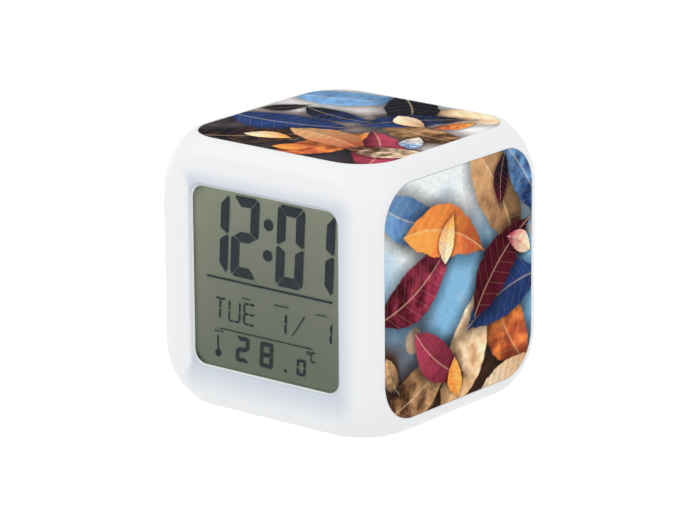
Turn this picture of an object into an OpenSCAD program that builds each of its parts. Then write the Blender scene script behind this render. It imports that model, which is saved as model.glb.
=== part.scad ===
// Cube-shaped digital alarm clock. Millimetres, +Z up, origin on the table under the middle.
// The display faces -Y. Four printed metal panels sit in shallow pockets of a milky housing,
// and a base plate below carries the batteries, the keys, the lamp switch and the snooze foot.

/* [Housing] */
// Width across opposite flat faces
body_w = 80; // [78:0.5:84]
// How far the rounded form would reach past the flat faces if they did not cut it
crown = 5; // [4.8:0.1:5.4]
// Radius of the rounded form at the corners
round_r = 23; // [22.4:0.1:23.4]
// Wall behind the flat faces
wall = 3; // [2.8:0.1:3.3]
// Wall of the rounded corners
corner_wall = 2.4; // [2.2:0.1:2.8]
// Floor of the housing, which the base plate is let into
floor_t = 4.4; // [4:0.1:4.8]
// How far that floor reaches in over the edge of the base plate
floor_lap = 1.8; // [1.5:0.1:2.1]
// Corner radius of that opening
floor_open_r = 18; // [17:0.5:19]

/* [Panels] */
// Distance from the edge of each panel to the face beside it
panel_border = 5.5; // [5.2:0.1:7]
// Corner radius of the panels
panel_r = 12.5; // [11:0.5:14]
// Thickness of the panels
panel_t = 0.6; // [0.5:0.1:0.8]
// Thickness of the adhesive pad under each panel
pad_t = 0.3; // [0.2:0.05:0.4]
// How far each panel lies below the face around it
panel_sink = 0.1; // [0.05:0.05:0.2]
// Gap round each panel in its pocket
panel_gap = 0.15; // [0.1:0.05:0.3]
// How much narrower each pad is than its panel, on every side
pad_inset = 2; // [1:0.5:4]

/* [Display] */
// Distance from the edge of the square display window to the face beside it
window_border = 13.35; // [13:0.05:14.5]
// Corner radius of the window
window_r = 4; // [3:0.5:5]
// Thickness of the lip that holds the display from the front
lip_t = 1.3; // [1.2:0.1:1.4]
// Width of the slope that runs down that lip all round the window
slope_w = 1.2; // [0.8:0.1:1.2]
// How far the glass reaches past the window on every side
glass_lap = 3; // [2.6:0.1:3.2]
// Distance from the contact ledge of the front glass to the floor below it
ledge_rise = 1.6; // [1.4:0.1:2]
// Thickness of each of the two glasses
glass_t = 0.7; // [0.55:0.05:0.8]
// Thickness of the front polariser
polariser_t = 0.2; // [0.15:0.05:0.3]
// Gap between the glasses, filled by the seal at the rim
cell_gap = 0.1; // [0.08:0.01:0.12]
// Thickness of the reflector film
reflector_t = 0.3; // [0.2:0.05:0.4]
// Thickness of the diffuser sheet behind it
diffuser_t = 0.5; // [0.4:0.05:0.6]
// Depth of the holder that presses the display against the lip
holder_t = 3.2; // [3:0.1:3.6]
// Width of the bars of that holder
holder_bar = 5; // [4.5:0.1:6]
// Thickness of the contact strip between the front glass and the board
strip_t = 2; // [1.8:0.1:2.2]

/* [Digits] */
// Lean of every digit to the right, in degrees
lean = 3.5; // [0:0.5:6]

/* [Boards] */
// Thickness of every circuit board
board_t = 1.6; // [1.2:0.1:1.8]
// Corner radius of the main board
board_r = 10; // [9:0.5:12]
// Radius of the posts that the main board is screwed to
post_r = 2; // [1.8:0.1:2.2]
// Height of those posts above and below the middle of the window
post_rise = 18; // [14:0.5:20]
// Radius of the round lamps on the main board
lamp_r = 2.5; // [2:0.1:3]
// Distance between neighbouring lamps
lamp_pitch = 18; // [12:0.5:20]

/* [Base plate] */
// Distance from the ends of the battery bay to the edges of the base plate
bay_border = 4.7; // [4.5:0.1:5]
// Width of the strips of the base plate in front of that bay and behind it
strip_w = 12.75; // [12.5:0.05:13]
// Corner radius of the base plate
base_r = 12.8; // [12:0.1:14]
// Thickness of the base plate
base_t = 2.4; // [2.2:0.1:2.8]
// Gap round the base plate
base_gap = 0.2; // [0.1:0.05:0.3]
// Distance of the screws and feet from the edges of the base plate
boss_inset = 7.8; // [7.6:0.1:8.2]
// Radius of the screw bosses
boss_r = 3.2; // [2.8:0.1:3.3]
// Height of the screw bosses above the base plate
boss_h = 8; // [7.5:0.5:10]
// Radius of the rubber feet
foot_r = 4; // [3.5:0.1:4.2]
// Thickness of the rubber feet
foot_t = 1.6; // [1.4:0.1:1.8]
// How far the feet stand out of the base
foot_proud = 0.8; // [0.7:0.1:1]

/* [Batteries] */
// Radius of one cell
cell_r = 5.25; // [5:0.05:5.3]
// Length of one cell with its terminal
cell_l = 44.5; // [43:0.5:45]
// Gap between neighbouring cells
cell_apart = 0.5; // [0.3:0.1:0.7]
// Walls of the battery bay
bay_wall = 1.4; // [1.2:0.1:1.5]
// Thickness of the contact plates
contact_t = 0.3; // [0.25:0.05:0.4]
// Length of a contact spring that a cell presses
spring_l = 4; // [3.6:0.1:4.4]
// Radius of the spring where it meets its plate
spring_r = 3.4; // [3:0.1:3.8]
// Radius of the spring's wire
wire_r = 0.3; // [0.25:0.05:0.35]
// Turns of each spring
spring_turns = 3.5; // [3:0.5:4]
// Thickness of the battery door
door_t = 1.8; // [1.6:0.1:2]
// How far the door laps over the edge of the bay
door_lap = 1; // [0.8:0.1:1.1]
// Gap round the door
door_gap = 0.2; // [0.15:0.05:0.25]
// Radius of the rounded hinge edge of the door
barrel_r = 1; // [0.95:0.05:1.05]
// Radius of the two hinge pins
pin_r = 0.55; // [0.45:0.05:0.6]
// Length of each hinge pin
pin_l = 1.2; // [1:0.1:1.5]

/* [Keys] */
// Radius of the four keys
key_r = 2.5; // [2:0.1:2.6]
// How far the keys stand out of the base plate
key_proud = 0.4; // [0.2:0.1:0.5]
// Travel of the keys and of the snooze foot
travel = 0.6; // [0.4:0.05:0.7]
// Radius of the snooze foot
snooze_r = 3.4; // [3:0.1:3.6]
// How far the snooze foot stands out of the base plate
snooze_proud = 0.65; // [0.5:0.05:0.68]
// Travel of the lamp switch
slide_travel = 3; // [2:0.1:3.2]
// Length of the knob of the lamp switch
knob_l = 2.6; // [2.2:0.1:3]

/* [Hidden] */
$fn = 72;

// Overrun of every cut past the surface that it opens
over = 1;
half = body_w / 2;
base_z = foot_proud;
mid_z = base_z + half;
panel_w = body_w - 2 * panel_border;
window_w = body_w - 2 * window_border;

// Panels
pocket_d = panel_sink + panel_t + pad_t;

// Display stack, as depths behind the front face
glass_w = window_w + 2 * glass_lap;
ledge_h = half - floor_t - ledge_rise - glass_w / 2;
glass_gap = 0.3;
polariser_d = lip_t;
front_glass_d = polariser_d + polariser_t;
cell_d = front_glass_d + glass_t;
rear_glass_d = cell_d + cell_gap;
reflector_d = rear_glass_d + glass_t;
diffuser_d = reflector_d + reflector_t;
holder_d = diffuser_d + diffuser_t;
board_d = holder_d + holder_t;
board_back_d = board_d + board_t;
polariser_inset = 0.8;
seal_w = 1.2;
seal_inset = 0.3;
strip_len = glass_w - 5 * glass_gap;
strip_gap = 0.15;

// Lit parts of the display lie in the gap between the glasses
lit_t = cell_gap * 0.6;
lit_inset = cell_gap * 0.2;
segment_gap = 0.4;
small_gap = 0.14;
// Width, height and stroke of the digits, and their places, as shares of the window
time_size_shares = [0.1867, 0.4531, 0.0572];
temp_size_shares = [0.091, 0.1441, 0.0235];
date_size_shares = [0.0657, 0.1171, 0.015];
tenth_size_shares = [0.06, 0.091, 0.0145];
time_x_shares = [-0.4687, -0.2615, 0.0512, 0.2574];
time_foot_share = 0.025;
time_digits = "1201";
colon_shares = [[0.0105, 0.3497], [0.0025, 0.178]];
colon_r = 1.7;
rule_shares = [[-0.4233, 0.4422, -0.0037], [-0.3403, 0.3034, -0.2861]];
rule_t = [0.6, 0.32];
date_x_shares = [0.0599, 0.3692];
date_foot_share = -0.2381;
slash_shares = [[0.1694, -0.2334], [0.252, -0.1156]];
slash_t = 0.38;
temp_x_shares = [-0.2311, -0.0645];
temp_foot_share = -0.451;
temp_digits = "28";
tenth_x_share = 0.1923;
tenth_foot_share = -0.4492;
point_share = [0.1178, -0.4418];
point_r = 0.45;
bulb_share = [-0.3538, -0.428];
bulb_r = 1.1;
stem_w = 0.5;
stem_l = 4.2;

// Main board and what it carries
post_side = 0.7;
board_margin = 1.9;
post_x = glass_w / 2 + glass_gap + post_side + post_r;
main_board_w = 2 * (post_x + board_margin);
main_board_h = glass_w + ledge_h;
small_screw_r = 0.85;
small_bore_r = 0.9;
small_head_r = 1.7;
small_head_t = 1.3;
small_screw_l = 5;
chip_r = 6;
chip_t = 1.6;
chip_share = [0, -0.02];
crystal_r = 1;
crystal_l = 6;
crystal_share = [0.3, -0.05];
bead_r = 1.2;
bead_share = [0.34, -0.34];
lamp_h = 5.2;
lamp_rim = 0.4;
lamp_rim_t = 1;
lamp_row_share = 0.2;

// Battery bay
cell_side = 0.4;
cell_pitch = 2 * cell_r + cell_apart;
cell_seat = 0.2;
cap_r = 1.9;
cap_l = 1.2;
cell_edge = 0.5;
cap_edge = 0.2;
dimple_t = contact_t;
bay_l = cell_l + spring_l + 2 * contact_t + dimple_t;
bay_w = 2 * cell_pitch + 2 * cell_r + 2 * cell_side;
bay_out_l = bay_l + 2 * bay_wall;
bay_out_w = bay_w + 2 * bay_wall;
cell_z = base_z + door_t + cell_seat + cell_r;
roof_z = cell_z + cell_r + cell_side;
dimple_r = 2;
contact_h = 1.7 * cell_r;
contact_w = 1.7 * cell_r;

// Base plate
base_l = bay_out_l + 2 * bay_border;
base_w = bay_out_w + 2 * strip_w;
floor_open_l = base_l - 2 * floor_lap;
floor_open_w = base_w - 2 * floor_lap;
boss_x = base_l / 2 - boss_inset;
boss_y = base_w / 2 - boss_inset;
pilot_r = 1.15;
shank_r = 1.1;
hole_r = 1.3;
head_r = 2.3;
head_t = 1.2;
screw_l = 8;
foot_gap = 0.15;
foot_edge = 0.3;
foot_sink = foot_t - foot_proud;
gusset_t = 1.6;
gusset_l = 8;
gusset_h = 5;

// Battery door
door_l = bay_l + 2 * door_lap;
door_front = -bay_w / 2 - door_lap;
door_r = 2.5;
hinge_y = bay_w / 2 - cell_side;
hinge_z = base_z + barrel_r;
hinge_gap = 0.15;
pin_gap = 0.05;
ledge_gap = 0.1;
grip_r = 6;
grip_d = 0.6;
grip_rib = 0.8;
grip_pitch = 3.2;
slit_w = 0.8;
slit_l = 9;
tongue_w = 10;
nose_t = 1;
nose_h = 1.6;
rib_h = 1.2;
rib_w = 1;

// Small boards beside the bay
side_gap = 0.6;
strip_y = (bay_out_w + floor_open_w) / 4;
small_board_w = (floor_open_w - bay_out_w) / 2 - 2 * side_gap;
small_board_l = 2 * (boss_x - boss_r - side_gap);
stud_r = 1.6;
stud_x = small_board_l / 2 - stud_r;
key_pitch = (stud_x - stud_r) / 2;
tact_w = 6;
tact_h = 3.5;
tact_tip_r = 1.7;
tact_tip_h = 0.9;
flange_t = 0.8;
flange_lap = 0.8;
key_gap = 0.15;
key_edge = 0.25;
flange_z = base_z + base_t;
tact_tip_z = flange_z + flange_t + travel;
small_board_z = tact_tip_z + tact_tip_h + tact_h;
small_board_top = small_board_z + board_t;

// Buzzer and its sound slots
buzzer_r = 4.4;
buzzer_h = 4.5;
buzzer_x = (snooze_r + flange_lap + stud_x - stud_r) / 2;
buzzer_hole_r = 1;
buzzer_hole_d = 1.5;
slot_l = 5;
slot_w = 0.9;
slot_pitch = 1.8;
slot_count = 5;

// Lamp switch
switch_x = -buzzer_x;
switch_l = 8.6;
switch_w = 3.8;
switch_h = 4;
switch_floor = 1;
switch_z = small_board_z - switch_h;
knob_w = 2.4;
knob_proud = 0.3;
groove_w = 0.4;
groove_d = 0.25;
groove_pitch = 0.8;
knob_gap = 0.15;
stem_len = 1.6;
stem_wide = 1.2;
shoe_l = 3.6;
shoe_w = 2.2;
shoe_t = 1.4;
dish_d = 0.8;
dish_margin = 1.6;
knob_x = switch_x - slide_travel / 2;

// Ribbons
ribbon_t = 0.4;
ribbon_w = 8;
ribbon_x = 9;
ribbon_rise = 9;
key_ribbon_rise = 4;
ribbon_bend = 1.5;

module rounded_square(w, h, r) {
  square([w, h - 2 * r], center = true);
  square([w - 2 * r, h], center = true);
  for (sx = [-1, 1], sy = [-1, 1])
    translate([sx * (w / 2 - r), sy * (h / 2 - r)]) circle(r = r);
}

module slab(w, h, r, t) linear_extrude(t) rounded_square(w, h, r);

// A square with rounded corners that widens by the slope as it rises by t
module widening_slab(w, r, slope, t) {
  straight = w / 2 - r;
  for (turn = [0, 90]) rotate([90, 0, turn]) linear_extrude(2 * straight, center = true)
    polygon([[-w / 2, 0], [w / 2, 0], [w / 2 + slope, t], [-w / 2 - slope, t]]);
  for (sx = [-1, 1], sy = [-1, 1])
    translate([sx * straight, sy * straight, 0]) cylinder(r1 = r, r2 = r + slope, h = t);
}

// A cube whose edges and corners a ball of the given radius has rounded
module ball_cube(reach, r) {
  core = reach - r;
  for (turn = [[0, 0, 0], [90, 0, 0], [0, 90, 0]]) rotate(turn)
    linear_extrude(2 * core, center = true) rounded_square(2 * reach, 2 * reach, r);
  for (a = [-1, 1], b = [-1, 1], c = [-1, 1]) translate([a * core, b * core, c * core]) sphere(r = r);
}

// Local +Z points out of the face, local +Y points up
module on_side(turn)
  translate([0, 0, mid_z]) rotate([0, 0, turn]) translate([0, -half, 0]) rotate([90, 0, 0]) children();
module on_top() translate([0, 0, mid_z + half]) children();
// Behind the front face at the given depth, local +Z still out of the face
module behind_front(depth) on_side(0) translate([0, 0, -depth]) children();

// At the four screws and feet, with local +X outwards along the diagonal
module bosses() for (sx = [-1, 1], sy = [-1, 1])
  translate([sx * boss_x, sy * boss_y, 0]) rotate([0, 0, atan2(sy, sx)]) children();

module pocket() translate([0, 0, -pocket_d])
  slab(panel_w + 2 * panel_gap, panel_w + 2 * panel_gap, panel_r + panel_gap, pocket_d + over);

module post_places() behind_front(board_d) for (sx = [-1, 1], sy = [-1, 1])
  translate([sx * post_x, sy * post_rise, 0]) children();

module housing() color("whitesmoke") difference() {
  union() {
    difference() {
      translate([0, 0, mid_z]) difference() {
        intersection() {
          ball_cube(half + crown, round_r);
          cube(body_w, center = true);
        }
        intersection() {
          ball_cube(half + crown - corner_wall, round_r - corner_wall);
          translate([0, 0, (floor_t - wall) / 2])
            cube([body_w - 2 * wall, body_w - 2 * wall, body_w - wall - floor_t], center = true);
        }
      }
      for (turn = [90, 180, 270]) on_side(turn) pocket();
      on_top() pocket();
      behind_front(lip_t + over) slab(window_w, window_w, window_r, lip_t + over);
      behind_front(slope_w) widening_slab(window_w, window_r, slope_w + over, slope_w + over);
      behind_front(wall + over) translate([0, -ledge_h / 2, 0])
        linear_extrude(wall + over - lip_t)
          square([glass_w + 2 * glass_gap, glass_w + ledge_h + 2 * glass_gap], center = true);
      translate([0, 0, base_z - over])
        slab(base_l + 2 * base_gap, base_w + 2 * base_gap, base_r + base_gap, base_t + over);
      translate([0, 0, base_z]) slab(floor_open_l, floor_open_w, floor_open_r, floor_t + over);
    }
    bosses() translate([0, 0, flange_z]) {
      cylinder(r = boss_r, h = boss_h);
      translate([(pilot_r + boss_r) / 2, gusset_t / 2, 0]) rotate([90, 0, 0]) linear_extrude(gusset_t)
        polygon([[0, 0], [gusset_l, 0], [gusset_l, floor_t - base_t], [0, gusset_h]]);
    }
    post_places() cylinder(r = post_r, h = board_d - wall + over / 2);
  }
  bosses() translate([0, 0, flange_z - over])
    cylinder(r = pilot_r, h = screw_l - base_t + foot_sink + 2 * over);
  post_places() translate([0, 0, -over]) cylinder(r = small_bore_r, h = small_screw_l - board_t + 2 * over);
}

module panel(shade) color(shade) translate([0, 0, pad_t - pocket_d]) slab(panel_w, panel_w, panel_r, panel_t);
module top_panel() on_top() panel("slateblue");
module right_panel() on_side(90) panel("lightsteelblue");
module rear_panel() on_side(180) panel("peru");
module left_panel() on_side(270) panel("indianred");

module pad() color("gainsboro") translate([0, 0, -pocket_d])
  slab(panel_w - 2 * pad_inset, panel_w - 2 * pad_inset, panel_r - pad_inset, pad_t);
module top_pad() on_top() pad();
module right_pad() on_side(90) pad();
module rear_pad() on_side(180) pad();
module left_pad() on_side(270) pad();

module square_sheet(w, h, t) linear_extrude(t) square([w, h], center = true);

module lcd_polariser() color("darkseagreen", 0.6) behind_front(polariser_d + polariser_t)
  square_sheet(glass_w - 2 * polariser_inset, glass_w - 2 * polariser_inset, polariser_t);
module lcd_front_glass() color("lightcyan", 0.5) behind_front(front_glass_d + glass_t)
  translate([0, -ledge_h / 2, 0]) square_sheet(glass_w, glass_w + ledge_h, glass_t);
module lcd_rear_glass() color("lightcyan", 0.5) behind_front(rear_glass_d + glass_t)
  square_sheet(glass_w, glass_w, glass_t);
module lcd_reflector() color("darkgray") behind_front(reflector_d + reflector_t)
  square_sheet(glass_w, glass_w, reflector_t);
module lcd_diffuser() color("white") behind_front(diffuser_d + diffuser_t)
  square_sheet(glass_w, glass_w, diffuser_t);
module lcd_seal() color("dimgray") behind_front(cell_d + cell_gap) difference() {
  square_sheet(glass_w - 2 * seal_inset, glass_w - 2 * seal_inset, cell_gap);
  translate([0, 0, -over]) square_sheet(
    glass_w - 2 * seal_inset - 2 * seal_w, glass_w - 2 * seal_inset - 2 * seal_w, cell_gap + 2 * over);
}

// Outline of one bar of a digit that is w wide and h high, with mitred ends. The points of the bars
// stand a fifth of the stroke in from the side, and those of the upright bars a seventh below the top.
function top_bar(w, h, s, g) =
  [[s / 5 + g, h - s / 7], [s / 3 + g, h], [w - s / 3 - g, h], [w - s / 5 - g, h - s / 7],
   [w - s - g / 3, h - s], [s + g / 3, h - s]];
function left_bar(w, h, s, g) =
  [[0, h - s / 2], [s / 5, h - s / 7 - g / 3], [s, h - s - g / 2], [s, h / 2 + s / 2 + g / 2],
   [s / 5, h / 2 + g / 2], [0, h / 2 + s / 6 + g / 2]];
function middle_bar(w, h, s, g) =
  [[s / 5 + g, h / 2], [s + g, h / 2 + s / 2], [w - s - g, h / 2 + s / 2],
   [w - s / 5 - g, h / 2], [w - s - g, h / 2 - s / 2], [s + g, h / 2 - s / 2]];
function flip_x(points, w) = [for (p = points) [w - p.x, p.y]];
function flip_y(points, h) = [for (p = points) [p.x, h - p.y]];
function leaning(points) = [for (p = points) [p.x + p.y * tan(lean), p.y]];
function bar(name, w, h, s, g) =
  name == "a" ? top_bar(w, h, s, g) :
  name == "d" ? flip_y(top_bar(w, h, s, g), h) :
  name == "f" ? left_bar(w, h, s, g) :
  name == "b" ? flip_x(left_bar(w, h, s, g), w) :
  name == "e" ? flip_y(left_bar(w, h, s, g), h) :
  name == "c" ? flip_y(flip_x(left_bar(w, h, s, g), w), h) :
  middle_bar(w, h, s, g);
function lit_bars(digit) =
  digit == "0" ? "abcdef" :
  digit == "1" ? "bc" :
  digit == "2" ? "abged" :
  digit == "8" ? "abcdefg" : "g";

module digit(which, size_shares, g) let (size = size_shares * window_w) for (name = lit_bars(which))
  linear_extrude(lit_t) polygon(leaning(bar(name, size[0], size[1], size[2], g)));

module dot(r) cylinder(r = r, h = lit_t);

module rule_line(from, to, t) let (run = to - from, along = norm(run))
  translate([from.x, from.y, 0]) rotate([0, 0, atan2(run.y, run.x)])
    translate([0, -t / 2, 0]) cube([along, t, lit_t]);

module lcd_segments() color("darkslategray") behind_front(cell_d + lit_inset + lit_t) {
  for (k = [0 : len(time_x_shares) - 1])
    translate([time_x_shares[k] * window_w, time_foot_share * window_w, 0])
      digit(time_digits[k], time_size_shares, segment_gap);
  for (place = colon_shares) translate([place.x * window_w, place.y * window_w, 0]) dot(colon_r);
  for (k = [0, 1]) let (line = rule_shares[k] * window_w)
    rule_line([line[0], line[2]], [line[1], line[2]], rule_t[k]);
  for (x = date_x_shares) translate([x * window_w, date_foot_share * window_w, 0])
    digit("1", date_size_shares, small_gap);
  rule_line(slash_shares[0] * window_w, slash_shares[1] * window_w, slash_t);
  for (k = [0, 1]) translate([temp_x_shares[k] * window_w, temp_foot_share * window_w, 0])
    digit(temp_digits[k], temp_size_shares, small_gap);
  translate([tenth_x_share * window_w, tenth_foot_share * window_w, 0])
    digit("0", tenth_size_shares, small_gap);
  translate([point_share.x * window_w, point_share.y * window_w, 0]) dot(point_r);
  translate([bulb_share.x * window_w, bulb_share.y * window_w, 0]) {
    dot(bulb_r);
    translate([-stem_w / 2, 0, 0]) cube([stem_w, bulb_r + stem_l, lit_t]);
  }
}

module lcd_holder() color("white") behind_front(holder_d + holder_t) difference() {
  translate([0, -ledge_h / 2, 0]) square_sheet(glass_w, glass_w + ledge_h, holder_t);
  translate([0, 0, -over])
    square_sheet(glass_w - 2 * holder_bar, glass_w - 2 * holder_bar, holder_t + 2 * over);
  translate([0, -(glass_w + ledge_h) / 2, -over])
    square_sheet(strip_len + 2 * strip_gap, strip_t + 2 * strip_gap, holder_t + 2 * over);
}

module contact_strip() color("gray") behind_front(board_d)
  translate([0, -(glass_w + ledge_h) / 2, 0]) square_sheet(strip_len, strip_t, board_d - cell_d);

module main_board() color("seagreen") behind_front(board_back_d) difference() {
  translate([0, -ledge_h / 2, 0]) slab(main_board_w, main_board_h, board_r, board_t);
  for (sx = [-1, 1], sy = [-1, 1]) translate([sx * post_x, sy * post_rise, -over])
    cylinder(r = small_bore_r, h = board_t + 2 * over);
}

// A pan-head screw whose head rests on z = 0, with the shank pointing up
module pan_screw() {
  translate([0, 0, -small_head_t]) cylinder(r = small_head_r, h = small_head_t);
  cylinder(r = small_screw_r, h = small_screw_l);
}

module board_screws() color("silver") behind_front(board_back_d)
  for (sx = [-1, 1], sy = [-1, 1]) translate([sx * post_x, sy * post_rise, 0]) pan_screw();

// On the back of the main board at a share of the glass width, local +Z towards the rear
module on_board(share) behind_front(board_back_d)
  translate([share.x * glass_w, share.y * glass_w, 0]) rotate([0, 180, 0]) children();

module driver_chip() color([0.08, 0.08, 0.09]) on_board(chip_share) {
  ball_r = (chip_r * chip_r + chip_t * chip_t) / (2 * chip_t);
  intersection() {
    translate([0, 0, chip_t - ball_r]) sphere(r = ball_r, $fn = 180);
    translate([0, 0, chip_t / 2 + over / 2]) cube([3 * chip_r, 3 * chip_r, chip_t + over], center = true);
  }
}

module quartz_crystal() color("silver") on_board(crystal_share)
  translate([0, 0, crystal_r]) rotate([90, 0, 0]) cylinder(r = crystal_r, h = crystal_l, center = true);

module thermistor() color("saddlebrown") on_board(bead_share) translate([0, 0, bead_r]) sphere(r = bead_r);

module glow_lamps() color("white") for (k = [-1, 0, 1])
  on_board([k * lamp_pitch / glass_w, lamp_row_share]) {
    cylinder(r = lamp_r + lamp_rim, h = lamp_rim_t);
    cylinder(r = lamp_r, h = lamp_h);
    translate([0, 0, lamp_h]) sphere(r = lamp_r);
  }

module bay_shape(l, w, z0, z1) translate([-l / 2, -w / 2, z0]) cube([l, w, z1 - z0]);

module strip_studs(side) for (sx = [-1, 1]) translate([sx * stud_x, side * strip_y, flange_z]) difference() {
  cylinder(r = stud_r, h = small_board_z - flange_z);
  translate([0, 0, small_board_z - flange_z - small_screw_l + board_t])
    cylinder(r = small_bore_r, h = small_screw_l);
}

module key_places() for (k = [0 : 3]) translate([(k - 1.5) * key_pitch, strip_y, 0]) children();

module base_plate() color("white") {
  difference() {
    union() {
      translate([0, 0, base_z]) slab(base_l, base_w, base_r, base_t);
      bay_shape(bay_out_l, bay_out_w, base_z + base_t / 2, roof_z + bay_wall);
    }
    bay_shape(bay_l, bay_w, base_z - over, roof_z);
    translate([0, 0, base_z - over])
      door_plate(door_l + 2 * door_gap, door_front - door_gap, door_r + door_gap, door_t + ledge_gap + over);
    translate([-door_l / 2 - door_gap, hinge_y - barrel_r - door_gap, base_z - over])
      cube([door_l + 2 * door_gap, 2 * barrel_r + door_gap + hinge_gap, base_t + over]);
    translate([0, hinge_y, hinge_z]) rotate([0, 90, 0])
      cylinder(r = pin_r + pin_gap, h = door_l + 2 * pin_l + 2 * door_gap, center = true);
    bosses() translate([0, 0, base_z]) {
      translate([0, 0, -over]) cylinder(r = foot_r + foot_gap, h = foot_sink + over);
      cylinder(r = hole_r, h = base_t + over);
      translate([0, 0, foot_sink]) cylinder(r1 = head_r + foot_gap, r2 = hole_r, h = head_t);
    }
    key_places() translate([0, 0, base_z - over]) cylinder(r = key_r + key_gap, h = base_t + 2 * over);
    translate([0, -strip_y, base_z - over]) cylinder(r = snooze_r + key_gap, h = base_t + 2 * over);
    translate([switch_x, -strip_y, base_z + base_t / 2])
      cube([knob_l + slide_travel + 2 * knob_gap, knob_w + 2 * knob_gap, base_t + 2 * over], center = true);
    translate([switch_x, -strip_y, base_z]) cube([knob_l + slide_travel + 2 * dish_margin,
      knob_w + 2 * dish_margin, 2 * dish_d], center = true);
    for (k = [0 : slot_count - 1])
      translate([buzzer_x, (k - (slot_count - 1) / 2) * slot_pitch - strip_y, base_z + base_t / 2])
        cube([slot_l, slot_w, base_t + 2 * over], center = true);
  }
  for (side = [-1, 1]) strip_studs(side);
}

module base_screws() color("silver") bosses() translate([0, 0, base_z + foot_sink]) {
  cylinder(r1 = head_r, r2 = shank_r, h = head_t);
  cylinder(r = shank_r, h = screw_l);
}

module rubber_feet() color("gray") bosses() {
  cylinder(r1 = foot_r - foot_edge, r2 = foot_r, h = foot_edge);
  translate([0, 0, foot_edge]) cylinder(r = foot_r, h = foot_t - foot_edge);
}

// One cell along X in row k, its terminal towards +X or, when turned, towards -X
module cell(k) color("dimgray") translate([0, k * cell_pitch, cell_z]) rotate([0, 0, k == 0 ? 180 : 0])
  translate([spring_l / 2 - dimple_t / 2 - cell_l / 2, 0, 0]) rotate([0, 90, 0]) {
    rotate_extrude() polygon([[0, 0], [cell_r - cell_edge, 0], [cell_r, cell_edge],
      [cell_r, cell_l - cap_l - cell_edge], [cell_r - cell_edge, cell_l - cap_l], [cap_r, cell_l - cap_l],
      [cap_r, cell_l - cap_edge], [cap_r - cap_edge, cell_l], [0, cell_l]]);
  }
module cell_1() cell(-1);
module cell_2() cell(0);
module cell_3() cell(1);

// A contact plate on an end wall of the bay that spans the rows in the list
module contact(end, rows, dimple_rows) color("silver") {
  first = min(rows) * cell_pitch - contact_w / 2;
  last = max(rows) * cell_pitch + contact_w / 2;
  translate([end * (bay_l / 2 - contact_t / 2), (first + last) / 2, cell_z])
    cube([contact_t, last - first, contact_h], center = true);
  for (k = dimple_rows) translate([end * (bay_l / 2 - contact_t - dimple_t / 2), k * cell_pitch, cell_z])
    rotate([0, 90, 0]) cylinder(r = dimple_r, h = dimple_t, center = true);
}
module contact_minus() contact(-1, [-1], []);
module contact_link_a() contact(1, [-1, 0], [-1]);
module contact_link_b() contact(-1, [0, 1], [0]);
module contact_plus() contact(1, [1], [1]);

// A tapering coil from z = 0 up, as one swept tube
ring_sides = 8;
rings_per_turn = 16;
ring_total = spring_turns * rings_per_turn;
coil_taper = 0.62;
function coil_point(k) = let (u = k / ring_total, r = (spring_r - wire_r) * (1 - (1 - coil_taper) * u))
  [r * cos(360 * spring_turns * u), r * sin(360 * spring_turns * u), wire_r + (spring_l - 2 * wire_r) * u];
function coil_ring(k) = let (p = coil_point(k), turn = 360 * k / rings_per_turn)
  [for (j = [0 : ring_sides - 1]) let (a = 360 * j / ring_sides)
    p + wire_r * [cos(a) * cos(turn), cos(a) * sin(turn), sin(a)]];
module coil() polyhedron(
  points = [for (k = [0 : ring_total]) each coil_ring(k)],
  faces = concat(
    [[for (j = [0 : ring_sides - 1]) j]],
    [for (k = [0 : ring_total - 1], j = [0 : ring_sides - 1])
      let (a = k * ring_sides, n = (j + 1) % ring_sides)
      each [[a + j, a + ring_sides + j, a + ring_sides + n], [a + j, a + ring_sides + n, a + n]]],
    [[for (j = [0 : ring_sides - 1]) ring_total * ring_sides + ring_sides - 1 - j]]));

module contact_springs() color("silver") for (k = [-1, 0, 1])
  translate([(k == 0 ? 1 : -1) * (bay_l / 2 - contact_t), k * cell_pitch, cell_z])
    rotate([0, k == 0 ? -90 : 90, 0]) coil();

// From the hinge to the given front edge, with two rounded corners there
module door_plate(l, front, r, t) linear_extrude(t) {
  translate([-l / 2, front + r]) square([l, hinge_y - front - r]);
  translate([r - l / 2, front]) square([l - 2 * r, r]);
  for (sx = [-1, 1]) translate([sx * (l / 2 - r), front + r]) circle(r = r);
}

module battery_door() color("white") {
  difference() {
    union() {
      translate([0, 0, base_z]) door_plate(door_l, door_front, door_r, door_t);
      for (k = [-0.5, 0.5]) translate([-bay_l / 2 + door_lap, k * cell_pitch - rib_w / 2, base_z])
        cube([bay_l - 2 * door_lap, rib_w, door_t + rib_h]);
      translate([-tongue_w / 2 + slit_w, -bay_w / 2 + cell_side, base_z])
        cube([tongue_w - 2 * slit_w, nose_t, door_t + nose_h]);
    }
    for (sx = [-1, 1]) translate([sx * tongue_w / 2 - slit_w / 2, door_front - over, base_z - over])
      cube([slit_w, slit_l + over, door_t + rib_h + 2 * over]);
    translate([0, door_front + slit_l + grip_r, base_z - over]) difference() {
      cylinder(r = grip_r, h = grip_d + over);
      for (k = [-1, 0, 1]) translate([-grip_r, k * grip_pitch - grip_rib / 2, 0])
        cube([2 * grip_r, grip_rib, 2 * over]);
    }
  }
  translate([0, hinge_y, hinge_z]) rotate([0, 90, 0]) {
    cylinder(r = barrel_r, h = door_l, center = true);
    cylinder(r = pin_r, h = door_l + 2 * pin_l, center = true);
  }
}

module small_board(side) color("seagreen") difference() {
  translate([0, side * strip_y, small_board_z]) linear_extrude(board_t)
    square([small_board_l, small_board_w], center = true);
  for (sx = [-1, 1]) translate([sx * stud_x, side * strip_y, small_board_z - over])
    cylinder(r = small_bore_r, h = board_t + 2 * over);
}
module key_board() small_board(1);
module control_board() small_board(-1);

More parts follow.
